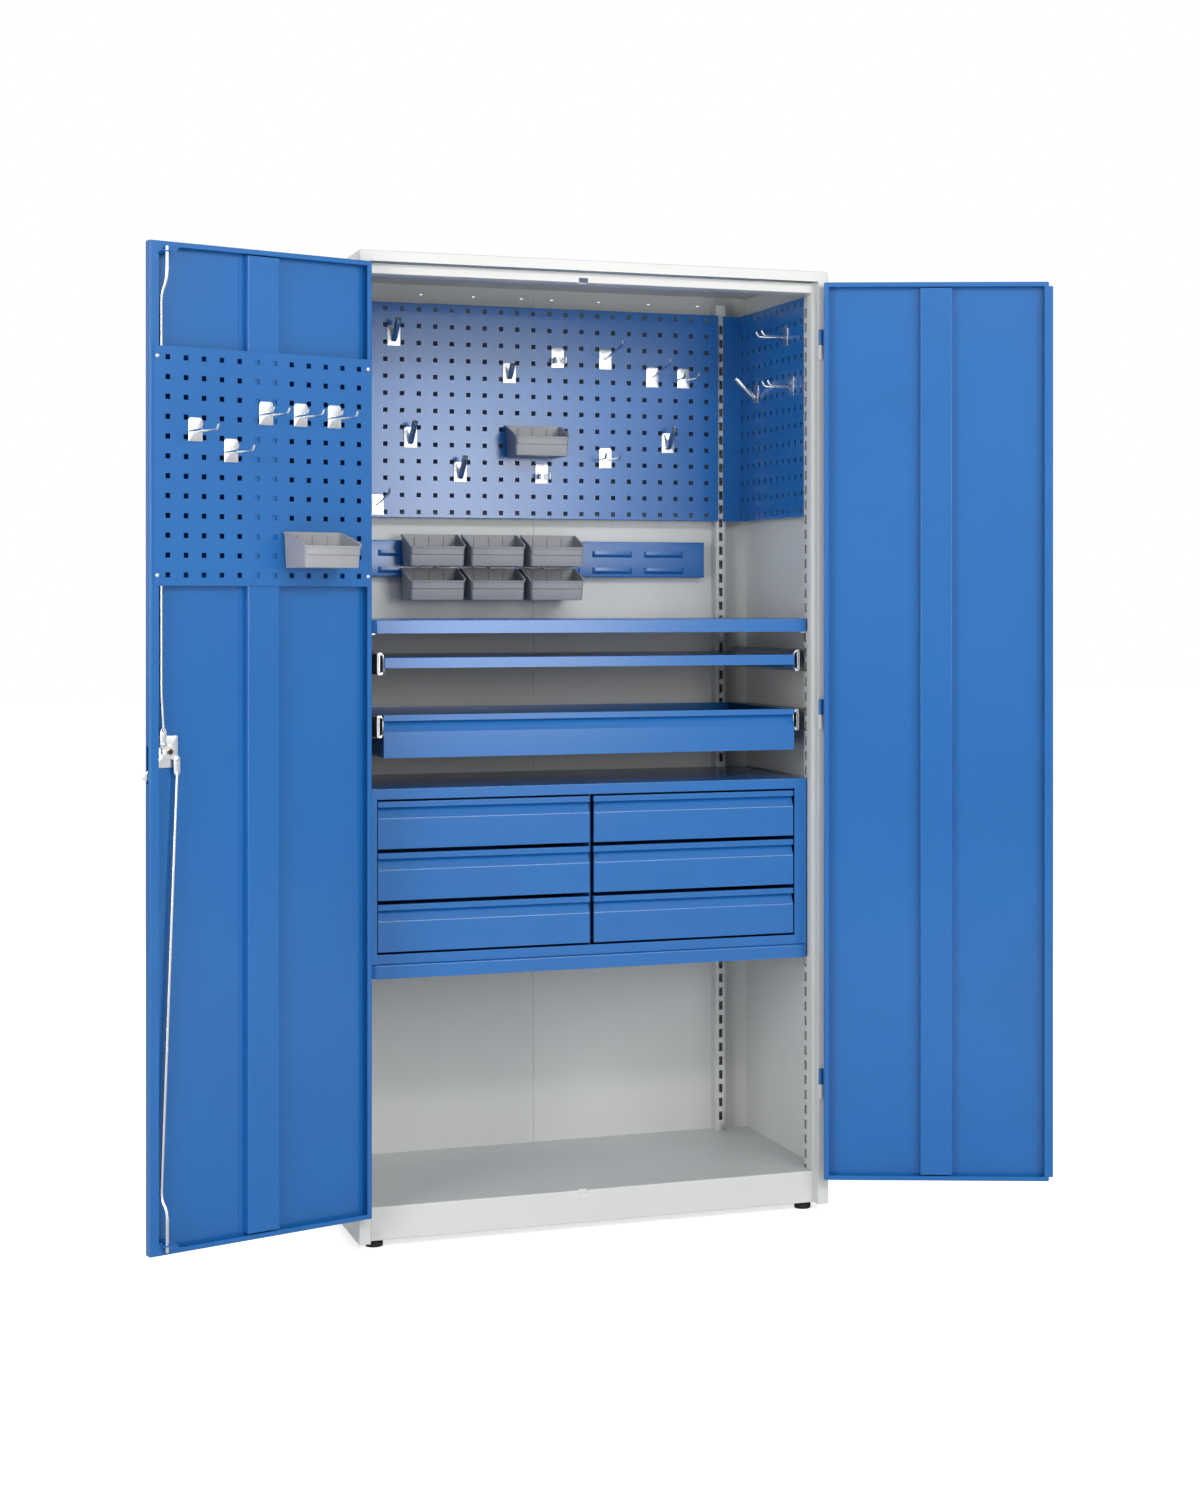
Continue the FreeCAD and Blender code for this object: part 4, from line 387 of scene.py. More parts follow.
def bar(low, high, edge=0.4):
    # a box with small round edges: a rounded rectangle carried along Z, smaller at its ends
    low, high = np.array(low, float), np.array(high, float)
    middle = (low + high) / 2
    width, depth = high[0] - low[0], high[1] - low[1]
    edge = min(edge, 0.45 * width, 0.45 * depth)
    outline = roundedRectangle(width, depth, edge, steps=3)
    inner = outline * (1 - 2 * edge / np.array([width, depth]))
    nothing = outline * 0
    rows = []
    for flat, z in ((nothing, low[2]), (inner, low[2]), (outline, low[2] + edge),
                    (outline, high[2] - edge), (inner, high[2]), (nothing, high[2])):
        rows.append(np.column_stack([flat + middle[:2], np.full(len(flat), z)]))
    return surface(rows, wrapColumns=True)


def strip(line, thickness, low, high, plane="xz"):
    # a line of points in a plane, given a thickness to its left and carried across the plane from low to high
    line = np.array(line, float)
    along = unit(np.gradient(line, axis=0))
    offset = np.stack([-along[:, 1], along[:, 0]], axis=-1) * thickness
    section = np.vstack([line, (line + offset)[::-1]])
    count = len(line)
    order = {"xz": (0, 2, 1), "yz": (2, 0, 1), "xy": (0, 1, 2)}[plane]
    rows = [np.column_stack([section, np.full(len(section), level)])[:, order] for level in (low, high)]
    walls = surface(rows, wrapColumns=True)
    ends = [surface([row[:count], row[:count - 1:-1]]) for row in rows]
    return [walls] + ends


# Folded sheet: copies of the solids with their outer folds rounded, as a press brake leaves them

# millimetres that a right-angled fold takes off each face, and the nodes
foldedSheets = {
    "bodySides": (1.6, "left_side", "right_side"),
    "rearUprights": (1.4, "left_rear_upright", "right_rear_upright"),
    "bodyBack": (0.8, "back_sheet_left", "back_sheet_right"),
    "topCover": (2.2, "top_cover"),
    "headerRail": (1.6, "header_rail"),
    "floorAndPlinth": (2.2, "base_pan"),
    "backPanelSheet": (1.4, "back_peg_panel"),
    "leftPanelSheet": (1.4, "left_peg_panel"),
    "rightPanelSheet": (1.4, "right_peg_panel"),
    "upperShelfSheet": (2.8, "upper_shelf"),
    "baseShelfSheet": (2.8, "base_shelf"),
    "drawerUnitCase": (2.0, "unit_case"),
    "pullOutShelfSheet": (2.6, "pullout_shelf"),
    "wideDrawerSheet": (3.0, "wide_drawer"),
    "leftDoorSheet": (2.6, "left_door_pan"),
    "rightDoorSheet": (2.6, "right_door_pan"),
    "leftDoorStiffener": (2.6, "left_door_stiffener"),
    "rightDoorStiffener": (2.6, "right_door_stiffener"),
    "doorMeetingStrip": (0.6, "meeting_strip"),
    "leftDrawerTop": (3.0, "left_drawer_1"),
    "leftDrawerMiddle": (3.0, "left_drawer_2"),
    "leftDrawerBottom": (3.0, "left_drawer_3"),
    "rightDrawerTop": (3.0, "right_drawer_1"),
    "rightDrawerMiddle": (3.0, "right_drawer_2"),
    "rightDrawerBottom": (3.0, "right_drawer_3"),
    "drawerRunnerAngles": (0.6, "drawer_runners"),
    "shelfClipSet": (0.6, "shelf_clips"),
    "slideBracketSet": (0.7, "slide_brackets"),
    "postHingeSet": (0.4, "post_hinges"),
    "leftDoorHingeSet": (0.4, "left_door_knuckles"),
    "rightDoorHingeSet": (0.4, "right_door_knuckles"),
}
thinnestFace = 2.1  # millimetres: a narrower face is the sheet's cut edge, whose corners stay crisp
sameFace = 0.5  # degrees: faces that turn less than this are one
knee = 15  # degrees: a bend sharper than this keeps its crease in the shading
hingeKnee = 35  # the same on the hinges, whose knuckles are drawn with flats
gentle = 45  # degrees: a bend less sharp than this is rounded twice as wide
foldSteps = 3


def foldedSheet(name, nodeNames, fold, crease):
    # the solid's triangles are welded and joined to flat faces, then its outer folds take a bevel weight
    shell = bmesh.new()
    for nodeName in nodeNames:
        shell.from_mesh(nodes[nodeName].data)
    bmesh.ops.remove_doubles(shell, verts=shell.verts, dist=leastEdge)
    bmesh.ops.dissolve_limit(shell, angle_limit=math.radians(sameFace), verts=shell.verts,
                             edges=shell.edges)
    weight = shell.edges.layers.float.new("bevel_weight_edge")
    wide = {}
    for face in shell.faces:
        face.smooth = True
        around = sum(edge.calc_length() for edge in face.edges)
        # a long face is as wide as twice its area over the way round it
        wide[face.index] = 2 * face.calc_area() / around > thinnestFace / 1000
    for edge in shell.edges:
        turn = edge.calc_face_angle_signed(0.0)
        edge.smooth = abs(turn) < math.radians(crease)
        if turn > math.radians(crease) and all(wide[face.index] for face in edge.link_faces):
            edge[weight] = 1.0 if turn < math.radians(gentle) else 0.5
    mesh = bpy.data.meshes.new(name)
    shell.to_mesh(mesh)
    shell.free()
    slot = slotOfNode[nodeNames[0]]
    mesh.materials.append(finishOfSlot[slot])
    piece = inScene(name, mesh)
    bevel = piece.modifiers.new("foldRadius", "BEVEL")
    bevel.limit_method = "WEIGHT"
    bevel.width = 2 * fold / 1000
    bevel.segments = foldSteps
    bevel.harden_normals = True
    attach(piece, bodyOfNode[nodeNames[0]])
    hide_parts(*nodeNames)


for name, (fold, *nodeNames) in foldedSheets.items():
    foldedSheet(name, nodeNames, fold, hingeKnee if "Hinge" in name else knee)
print("folded sheets softened:", len(foldedSheets))


# Hooks: a pressed zinc plate that hangs in two holes, with wires, a tube holder or a spring clip

hooks = {
    "plateWidth": 30, "plateHeight": 46, "plateSheet": 2, "plateCorner": 6, "lowCorner": 1.0, "edge": 0.5,
    "wire": 2.5, "bend": 7, "longReach": 130, "longRise": 20, "tip": 12,
    "pairReach": 58, "pairSpread": 22, "pairDrop": 26,
    "tubeOuter": 6.5, "tubeInner": 5.0, "tubeLength": 62, "shortTube": 40, "tubeLean": 45, "tubeDrop": 34.5,
    "clipOpening": 24, "clipSheet": 1.2, "clipWidth": 14, "clipStand": 4, "clipArc": (-28, 208),
    "clipFlare": [(3.2, -2.6), (1.4, -1.8)], "clipLap": (0.3, 0.2),
    "back": [("tube", 1.5, 1), ("stub", 8.5, 3), ("clip", 11.5, 2), ("pair", 19.5, 3),
             ("tube", 2.5, 7), ("tube", 5.5, 9), ("clip", 10.5, 9), ("pair", 14.5, 8),
             ("long", 0.5, 11), ("long", 14.5, 2), ("long", 17.5, 3), ("tube", 18.5, 7)],
    "side": [("pair", 2.5, 1), ("tube", 7.5, 4), ("pair", 1.5, 4)],
    "door": [("pair", 9.5, 3), ("pair", 7.5, 4), ("pair", 5.5, 2), ("pair", 3.5, 2), ("pair", 1.5, 2)],
}
pegPitch = 38.0
# where each panel's column 0 and row 0 lie, which way its columns run, and how its hooks are turned
panels = {
    "back": {"start": (-399.0, 475.0, 1985.0), "columns": (1, 0, 0), "turn": 0},
    "side": {"start": (487.0, 90.5, 1985.0), "columns": (0, 1, 0), "turn": -90},
    "door": {"start": (-456.0, 21.5, 1797.0), "columns": (1, 0, 0), "turn": 180},
}


def hookPlate():
    width, height, sheet = hooks["plateWidth"], hooks["plateHeight"], hooks["plateSheet"]
    outline = roundedRectangle(width, height, hooks["lowCorner"], steps=4)
    top = roundedRectangle(width, height, hooks["plateCorner"], steps=4)
    outline[:8] = top[:8]  # only the two upper corners are large
    outline[:, 1] -= height / 2
    return frontPlate(outline, sheet, hooks["edge"], 0.0)


def hookSurfaces(kind):
    sheet, height, wire = hooks["plateSheet"], hooks["plateHeight"], hooks["wire"]
    shapes = [hookPlate()]
    root = np.array([0.0, -sheet / 2, -height / 2])
    tip = np.array([0.0, -hooks["tip"] / 2, hooks["tip"]])
    if kind == "long":
        knee = root + (0, -hooks["longReach"], hooks["longRise"])
        shapes.append(tube(roundedPath([root, knee, knee + tip], hooks["bend"]), wire, (1, 0, 0)))
    if kind == "pair":
        for side in (-1, 1):
            start = np.array([side * hooks["pairSpread"] / 2, -sheet / 2, -hooks["pairDrop"]])
            knee = start + (side * hooks["tip"] / 2, -hooks["pairReach"], 0)
            shapes.append(tube(roundedPath([start, knee, knee + tip], hooks["bend"]), wire, (1, 0, 0)))
    if kind in ("tube", "stub"):
        lean = math.radians(hooks["tubeLean"])
        along = np.array([0.0, -math.sin(lean), math.cos(lean)])
        start = (0.0, -sheet / 2 - hooks["tubeOuter"] * math.cos(lean), -hooks["tubeDrop"])
        length = hooks["shortTube"] if kind == "stub" else hooks["tubeLength"]
        shapes.append(sleeve(start, along, length, hooks["tubeOuter"], hooks["tubeInner"], (1, 0, 0)))
    if kind == "clip":
        inner, width = hooks["clipOpening"] / 2, hooks["clipWidth"]
        middle = np.array([0.0, -sheet - hooks["clipStand"] - inner - hooks["clipSheet"]])
        angle = np.radians(np.linspace(*hooks["clipArc"], 30))
        ring = middle + inner * circlePoints(angle)
        flare = np.array(hooks["clipFlare"])
        line = np.vstack([ring[0] + flare, ring, (ring[-1] + flare[::-1] * (-1, 1))])
        low = -height / 2 - width
        shapes += strip(line, -hooks["clipSheet"], low, low + width, "xy")
        front, back = hooks["clipLap"]
        shapes.append(bar((-width / 2, -sheet - hooks["clipStand"] - front, low),
                          (width / 2, -sheet + back, low + width)))
    return shapes


def hooksOn(panel):
    surfaces = []
    for kind, column, row in hooks[panel]:
        look = panels[panel]
        place = look["start"] + pegPitch * (column * np.array(look["columns"]) - (0, 0, row))
        surfaces += moved(hookSurfaces(kind), place, look["turn"])
    return surfaces


makePiece("cabinetHookSet", hooksOn("back") + hooksOn("side"), "zinc", "root", stands=["cabinet_hooks"])
makePiece("doorHookSet", hooksOn("door"), "zinc", "left_door", stands=["door_hooks"])
print("hooks made")


# Bins: open-fronted stacking bins, moulded with a rolled rim and a label band

bins = {
    "width": 134, "depth": 92, "height": 72, "wall": 2, "taper": 7, "rim": 3, "corner": 6, "cornerSteps": 6,
    "front": 44, "bandHeight": 18, "bandProud": 3.4, "mouthTop": 34, "mouthLow": 8,
    "ribs": 3, "ribHalf": 1.0,
    "railStart": (-260.25, 481.7, 1331.0), "railPitch": (137.5, 76.0), "railCount": (3, 2),
    "panelPlace": (-22.0, 474.7, 1656.0), "doorPlace": (-348.5, 21.8, 1394.0),
}


def binSurfaces():
    # rows climb from the middle of the floor up the outside, over the rim and down the inside;
    # a row's height is a share of the rim's, which drops along the sides to the low front
    look = bins
    width, depth, height, wall = look["width"], look["depth"], look["height"], look["wall"]
    around = 4 * look["cornerSteps"]

    def loop(z, grow):
        share = np.clip(z / height, 0, 1)[:, None]
        outlines = []
        for inset in (look["taper"], look["rim"]):
            size = np.array([width - 2 * inset, depth - inset])
            flat = roundedRectangle(*(size + 2 * grow), look["corner"] + grow, look["cornerSteps"])
            flat[:, 1] = -(flat[:, 1] + size[1] / 2)
            outlines.append(flat)
        return outlines[0] * (1 - share) + outlines[1] * share

    base = loop(np.zeros(around), 0)
    reach = -base[:, 1]
    slope = (reach - (depth - look["mouthTop"])) / (look["mouthTop"] - look["mouthLow"])
    rim = height - (height - look["front"]) * np.clip(slope, 0, 1)
    front = np.clip((reach - (depth - look["taper"] - 2)) / 2, 0, 1)  # 1 on the front wall
    bandLow = look["front"] - look["bandHeight"]
    proud = front * look["bandProud"]

    def row(z, grow, forward=0.0):
        flat = loop(z, grow)
        flat[:, 1] = np.minimum(flat[:, 1], 0) - forward
        return np.column_stack([flat, z])

    full = np.ones(around)
    middle = np.repeat([[0.0, -depth / 2, 0.0]], around, axis=0)
    rows = [
        middle,
        row(full * 0.0, -2.0),
        row(full * 0.6, -0.6),
        row(full * 2.0, 0.0),
        row(np.minimum(full * bandLow - 1, rim * 0.6), 0.0),
        row(np.minimum(full * bandLow, rim * 0.62), 0.0, proud),
        row(rim - 5.5, 0.0, proud),
        row(rim - 4.6, 1.6, proud * 0.9),
        row(rim - 0.8, 2.2, proud * 0.8),
        row(rim, 1.4, proud * 0.7),
        row(rim, -wall + 0.7, 0.0),
        row(rim - 0.7, -wall, 0.0),
        row(full * (wall + 2.5), -wall),
        row(full * wall, -wall - 2.5),
        middle + (0, 0, wall),
    ]
    shapes = [surface(rows, wrapColumns=True)]
    for rib in range(look["ribs"]):
        x = (rib - (look["ribs"] - 1) / 2) * width / 4
        shapes.append(bar((x - look["ribHalf"], -wall - 2.2, wall + 0.5),
                          (x + look["ribHalf"], -wall + 0.4, height - look["corner"]), 0.5))
    return shapes


railBins = []
for row in range(bins["railCount"][1]):
    for column in range(bins["railCount"][0]):
        step = np.array([bins["railPitch"][0] * column, 0.0, bins["railPitch"][1] * row])
        railBins += moved(binSurfaces(), bins["railStart"] + step)
makePiece("railBinSet", railBins, "grey_plastic", "root", stands=["rail_bins"])
makePiece("panelBinShell", moved(binSurfaces(), bins["panelPlace"]), "grey_plastic", "root",
          stands=["panel_bin"])
makePiece("doorBinShell", moved(binSurfaces(), bins["doorPlace"], 180), "grey_plastic", "left_door",
          stands=["door_bin"])
print("bins made")


# Lock rods: round bar with a flattened eye at the cam and a jog that brings the end behind the lip

rods = {"radius": 3.5, "endRadius": 4.0, "endLength": 68, "bend": 22, "overlap": 4.0,
        "tabWidth": 13, "tabSheet": 2, "tabEdge": 0.3, "tabLength": 32, "tabShoulder": 6, "tabNeck": 0.55,
        "rivet": [(0, 1.5), (2.2, 1.4), (3.8, 0.9), (4.5, 0.2), (4.5, 0), (0, 0)]}
rodRoutes = {
    "upper": {"pin": (-32.36, 12.5, 1053.14), "way": 1,
              "corners": [(-32.36, 14.5, 1081.6), (-27, 14.5, 1149.1), (-27, 14.5, 1916), (-33, 28.5, 1943),
                          (-33, 28.5, 2009.5)]},
    "lower": {"pin": (-60.64, 12.5, 1024.86), "way": -1,
              "corners": [(-60.64, 14.5, 996.4), (-27, 14.5, 181), (-33, 28.5, 163), (-33, 28.5, 81)]},
}


def eyeTab(pin, way):
    # a strip with a round end about the pin, and a domed rivet head on it
    half, length = rods["tabWidth"] / 2, rods["tabLength"]
    angle = np.radians(np.linspace(180, 360, 13))
    neck, shoulder = half * rods["tabNeck"], length - rods["tabShoulder"]
    outline = np.vstack([half * circlePoints(angle),
                         [[half, shoulder], [neck, length], [-neck, length], [-half, shoulder]]])
    outline[:, 1] *= way
    outline += (pin[0], pin[2])
    return [frontPlate(outline, rods["tabSheet"], rods["tabEdge"], pin[1] + rods["tabSheet"]),
            lathe(rods["rivet"], (pin[0], pin[1] + rods["tabSheet"], pin[2]), "y", 20)]


for name, route in rodRoutes.items():
    path = roundedPath(route["corners"], rods["bend"], 8)
    path[0] += np.array([0, 0, -rods["overlap"] * route["way"]])
    toEnd = np.abs(path[:, 2] - route["corners"][-1][2])
    radii = np.where(toEnd < rods["endLength"], rods["endRadius"], rods["radius"])
    makePiece(name + "LockRod", [tube(path, radii, (1, 0, 0), 14)] + eyeTab(route["pin"], route["way"]),
              "zinc", name + "_rod", stands=[name + "_rod"])
print("lock rods made")


# Feet: turned rubber pads, and a screw with a hexagon lock nut in its plate

feet = {"height": 16, "screw": 4, "screwTop": 66, "pitch": 1.75, "threadDepth": 0.35, "threadSteps": 90,
        "nutAcross": 15, "nutHeight": 9, "nutEnd": 0.86, "nutChamfer": 1,
        "plateWidth": 30, "plateDepth": 42, "plateSheet": 3, "plateEdge": 0.6, "x": 474.0,
        "front": {"y": 50.0, "plateReach": 485.0}, "rear": {"y": 470.0, "plateReach": 513.5},
        "pad": [(0, 0), (16.6, 0), (17.6, 0.5), (18, 1.6), (18, 8.6), (17.2, 10.4), (15.2, 11.6), (12, 12),
                (9.4, 12.3), (8.6, 13.2), (8.5, 16), (0, 16)]}


def threadedScrew(x, y):
    # the radius swings a little with the height, once in two pitches
    low, high = feet["height"], feet["screwTop"]
    level = np.linspace(low, high, feet["threadSteps"])
    swing = 0.5 + 0.5 * np.cos(math.pi * (level - low) / feet["pitch"])
    radius = feet["screw"] - feet["threadDepth"] * swing
    profile = np.vstack([[0, low], np.column_stack([radius, level]), [0, high]])
    return lathe(profile, (x, y, 0), "z", 14)


def hexagonNut(x, y, low, high):
    # six flats between two faces; the corners are chamfered at both ends
    reach = feet["nutAcross"] / math.sqrt(3)
    end, chamfer = reach * feet["nutEnd"], feet["nutChamfer"]
    profile = [(0, low), (end, low), (reach, low + chamfer), (reach, high - chamfer), (end, high), (0, high)]
    return lathe(profile, (x, y, 0), "z", 6)


pads, mounts = [], []
for side in (-1, 1):
    for place in (feet["front"], feet["rear"]):
        x, y = side * feet["x"], place["y"]
        low = feet["height"] + feet["nutHeight"]
        pads.append(lathe(feet["pad"], (x, y, 0), "z", 40))
        mounts.append(threadedScrew(x, y))
        mounts.append(hexagonNut(x, y, feet["height"], low))
        edges = sorted([side * (feet["x"] - feet["plateWidth"] / 2), side * place["plateReach"]])
        mounts.append(bar((edges[0], y - feet["plateDepth"] / 2, low),
                          (edges[1], y + feet["plateDepth"] / 2, low + feet["plateSheet"]),
                          feet["plateEdge"]))
makePiece("rubberFeet", pads, "black_rubber", "root", stands=["foot_pads"])
makePiece("footScrews", mounts, "zinc", "root", stands=["foot_mounts"], sharpAngle=25)
print("feet made")


# Small screws: pan heads with a cross cut in them, and their shanks, on the door's panel

panelScrews = {"head": 4.0, "rise": 2.0, "bore": 0.9, "shank": 2.0, "length": 6.5,
               "front": 21.5, "seat": 21.0, "x": (-477.5, -16.5), "z": (1378.0, 1798.0)}
cross = {"halfWidth": 0.13, "reach": 0.6}  # shares of the head's radius
dome = {"share": 0.96, "power": 2.6, "sunk": 0.2}


def panHead(x, z, back, radius, rise, bore):
    # a low dome, as high as the rise times the root of one less the share of the reach to a power;
    # its cross is a dip where either diagonal is narrow; the outward way is +Y
    reach = np.linspace(0, 1, 9)[:, None]
    angle = fullTurn(32)[None]
    level = rise * np.sqrt(1 - (reach * dome["share"]) ** dome["power"]) + 0 * angle
    narrow = np.minimum(np.abs(reach * np.cos(angle)), np.abs(reach * np.sin(angle))) * radius
    dip = np.where((narrow < cross["halfWidth"] * radius) & (reach < cross["reach"]), bore, 0.0)
    across, upward = radius * reach * np.cos(angle), radius * reach * np.sin(angle)
    rows = np.stack([x + across, back + level - dip, z + upward], axis=-1)
    rim = rows[-1:].copy()
    rim[..., 1] = back - dome["sunk"]
    under = rim.copy()
    under[...] = (x, back - dome["sunk"], z)  # sunk a little, so that no slit shows
    return surface(np.vstack([rows, rim, under]), wrapColumns=True)


shank = [(0, -panelScrews["length"]), (panelScrews["shank"], -panelScrews["length"]),
         (panelScrews["shank"], 0.5), (0, 0.5)]
heads = []
for x in panelScrews["x"]:
    for z in panelScrews["z"]:
        heads.append(panHead(x, z, panelScrews["front"], panelScrews["head"], panelScrews["rise"],
                             panelScrews["bore"]))
        heads.append(lathe(shank, (x, panelScrews["seat"], z), "y", 12))
makePiece("panelScrewHeads", heads, "zinc", "left_door", stands=["panel_screws"])
print("screws made")


# Ball slides: three nested channels with curled flanges, and two rows of balls between them at the front

slides = {
    "levels": {"pullout": 1199.0, "wide": 1069.0}, "fronts": {"pullout": 50.0, "wide": 54.0}, "back": 474.0,
    "sheet": 1.4, "fold": 4.0, "innerFold": 2.8, "lip": 3.4, "step": 0.4,
    "outer": {"web": 466.7, "flange": 457.2, "half": 23.0},
    "middle": {"web": 463.4, "flange": 457.4, "half": 21.1},
    "inner": {"web": 454.0, "flange": 459.8, "half": 19.3},
    "ball": 1.9, "ballPitch": 14.0, "ballStart": 8.0, "ballCount": 8, "ballHalf": 17.2, "ballPlace": 461.2,
}


def bothSides(surfaces):
    # the same surfaces again on the cabinet's other side
    return surfaces + [(points * (-1, 1, 1), rows, columns) for points, rows, columns in surfaces]


def slideChannel(member, level, front):
    # the section runs from one flange's lip round the web to the other lip, with round folds
    look = slides[member]
    inward = 1 if look["flange"] < look["web"] else -1
    flange, web, half, lip = look["flange"], look["web"], look["half"], slides["lip"]
    corners = [(flange, level + half - lip), (flange, level + half), (web, level + half),
               (web, level - half), (flange, level - half), (flange, level - half + lip)]
    if member == "inner":
        corners = corners[1:-1]
    line = roundedPath(corners, slides["fold"] if member == "outer" else slides["innerFold"], 5)
    return strip(line, -slides["sheet"] * inward, front, slides["back"], "xz")


def ballRows(level, front):
    # small globes in two rows, as they show between the members at the front
    balls = []
    arc = np.radians(np.linspace(-90, 90, 7))
    profile = slides["ball"] * circlePoints(arc)
    for count in range(slides["ballCount"]):
        y = front + slides["ballStart"] + slides["ballPitch"] * count
        for way in (-1, 1):
            centre = (slides["ballPlace"], y, level + way * slides["ballHalf"])
            balls.append(lathe(profile, centre, "z", 10))
    return balls


outerRails = []
for name, level in slides["levels"].items():
    front = slides["fronts"][name]
    outerRails += slideChannel("outer", level, front)
    middle = slideChannel("middle", level, front + slides["step"]) + ballRows(level, front)
    inner = slideChannel("inner", level, front + 2 * slides["step"])
    makePiece(name + "MiddleSlides", bothSides(middle), "zinc", name + "_middle", finish=slideFinish,
              stands=[name + "_slide_middle"])
    makePiece(name + "InnerSlides", bothSides(inner), "zinc", name, finish=slideFinish,
              stands=[name + "_slide_inner"])
makePiece("outerSlides", bothSides(outerRails), "zinc", "root", finish=slideFinish,
          stands=["slide_outer_rails"])
print("slides made")


# Louvred rail: a shallow channel whose tongues are pressed out of the sheet and open upwards

louvres = {"reach": 397.0, "low": 1384.0, "high": 1466.0, "front": 487.0, "depth": 30.0,
           "sheet": 1.5, "fold": 2.5, "feet": (1392.0, 1430.0), "start": -375.0, "pitch": 125.0,
           "count": 6, "width": 95.0, "stand": 4.6, "height": 14.0, "climb": 7.0, "round": 7.0,
           "sunk": 0.2, "inside": 1.2}


def louvreTongue(x, foot):
    # the tongue stands off the sheet by the stand, times the sine of a quarter turn's share over the climb,
    # times the sine of a quarter turn's share along the round end; its ends are a quarter circle in place
    share = np.linspace(0, 1, 9)
    end = louvres["round"] * (1 - np.cos(share * math.pi / 2))
    place = np.hstack([x + end, x + louvres["width"] - end[::-1]])
    swell = np.sin(np.hstack([share, share[::-1]]) * math.pi / 2)[None]
    rise = louvres["height"] * np.linspace(0, 1, 12)[:, None]
    out = louvres["stand"] * np.sin(np.clip(rise / louvres["climb"], 0, 1) * math.pi / 2) * swell
    face = louvres["front"] - louvres["sunk"] - out
    outside = np.stack([place + 0 * rise, face, foot + rise + 0 * swell], axis=-1)
    inside = outside + (0, louvres["inside"], 0)
    return surface(np.vstack([outside, inside[::-1]]), wrapRows=True)


# the channel is drawn in (Y, Z) and carried along X
front, back = louvres["front"], louvres["front"] + louvres["depth"]
channel = roundedPath([(back, louvres["low"]), (front, louvres["low"]), (front, louvres["high"]),
                       (back, louvres["high"])], louvres["fold"], 5)
rail = strip(channel, -louvres["sheet"], -louvres["reach"], louvres["reach"], "yz")
for foot in louvres["feet"]:
    for count in range(louvres["count"]):
        rail.append(louvreTongue(louvres["start"] + louvres["pitch"] * count, foot))
makePiece("louvredRailSheet", rail, "blue_coat", "root", stands=["louvre_rail"], sharpAngle=50)
print("louvred rail made")


# Lock: case, escutcheon, lever with its key barrel, latch arm, cam and nut, all about one spindle

lock = {
    "x": -46.5, "z": 1039.0, "tilt": 45, "spindle": 5.0, "bore": 5.15,
    "case": (40, 62, 5.0), "caseBack": 6.2, "caseCorner": 3.0, "caseEdge": 0.8,
    "caseScrew": (14, 25), "caseHead": (2.6, 0.7, 0.4),
    "escutcheon": (32, 150, 8.0), "escutcheonDrop": 25.0, "escutcheonCorner": 7.0, "escutcheonEdge": 2.6,
    "gripWidth": 22, "gripLength": 118, "gripFront": -32.0, "gripBack": -18.0, "gripTop": 4.0,
    "gripCorner": 4.5, "gripEnd": 0.06, "waist": 0.16, "thin": 0.1,
    "barrel": 8.0, "barrelBack": -20.0, "barrelLength": 12.0, "barrelEdge": 0.6,
    "keyway": (2.0, 8.0, 0.9), "play": 0.15,
    "armReach": 73, "armWidth": 14, "armSheet": 3.0, "armEdge": 0.4, "armBack": 10.0, "armCorner": 3.0,
    "armEnd": 8, "hub": 15, "camPlace": 20, "camLobe": 7, "camSheet": 2.0, "camEdge": 0.35, "camBack": 12.0,
    "nut": 6.0, "nutHeight": 4.0, "nutEdge": 0.4, "nutBack": 16.0,
}


def circleToward(outline, centre, radius):
    # a point of the circle in the direction of each point of the outline
    return centre + radius * unit(outline - centre)


def onSpindle(surfaces):
    # drawn about the origin of X and Z, tilted to the resting angle, and carried to the spindle
    place = (lock["x"], 0.0, lock["z"])
    return [(turned(points, lock["tilt"], "y") + place, *wraps) for points, *wraps in surfaces]


def spindlePlate(outline, thickness, edge, back):
    # a plate about the spindle, which fills its hole
    return frontPlate(outline, thickness, edge, back, circleToward(outline, np.zeros(2), lock["spindle"]))


def camOutline():
    # in each direction the furthest of a hub, two lobes and the bar that joins them
    way = circlePoints(fullTurn(96))
    along = np.abs(way[:, 1]) * lock["camPlace"]
    inside = np.clip(lock["camLobe"] ** 2 - lock["camPlace"] ** 2 + along ** 2, 0, None)
    lobe = np.where(inside > 0, along + np.sqrt(inside), 0)
    joint = np.minimum(lock["camLobe"] / np.maximum(np.abs(way[:, 0]), 1e-6),
                       lock["camPlace"] / np.maximum(np.abs(way[:, 1]), 1e-6))
    return way * np.maximum(np.maximum(lobe, joint), lock["hub"])[:, None]


def armOutline():
    # an arc about the hub, then a blade with a rounded end
    half = lock["armWidth"] / 2
    start = math.asin(half / lock["hub"])
    arc = np.linspace(start, 2 * math.pi - start, 40)
    end = roundedRectangle(lock["armEnd"], lock["armWidth"], lock["armCorner"], 5)
    right = np.vstack([end[-5:], end[:5]]) + (lock["armReach"] - lock["armEnd"] / 2, 0)
    return np.vstack([lock["hub"] * circlePoints(arc), right])


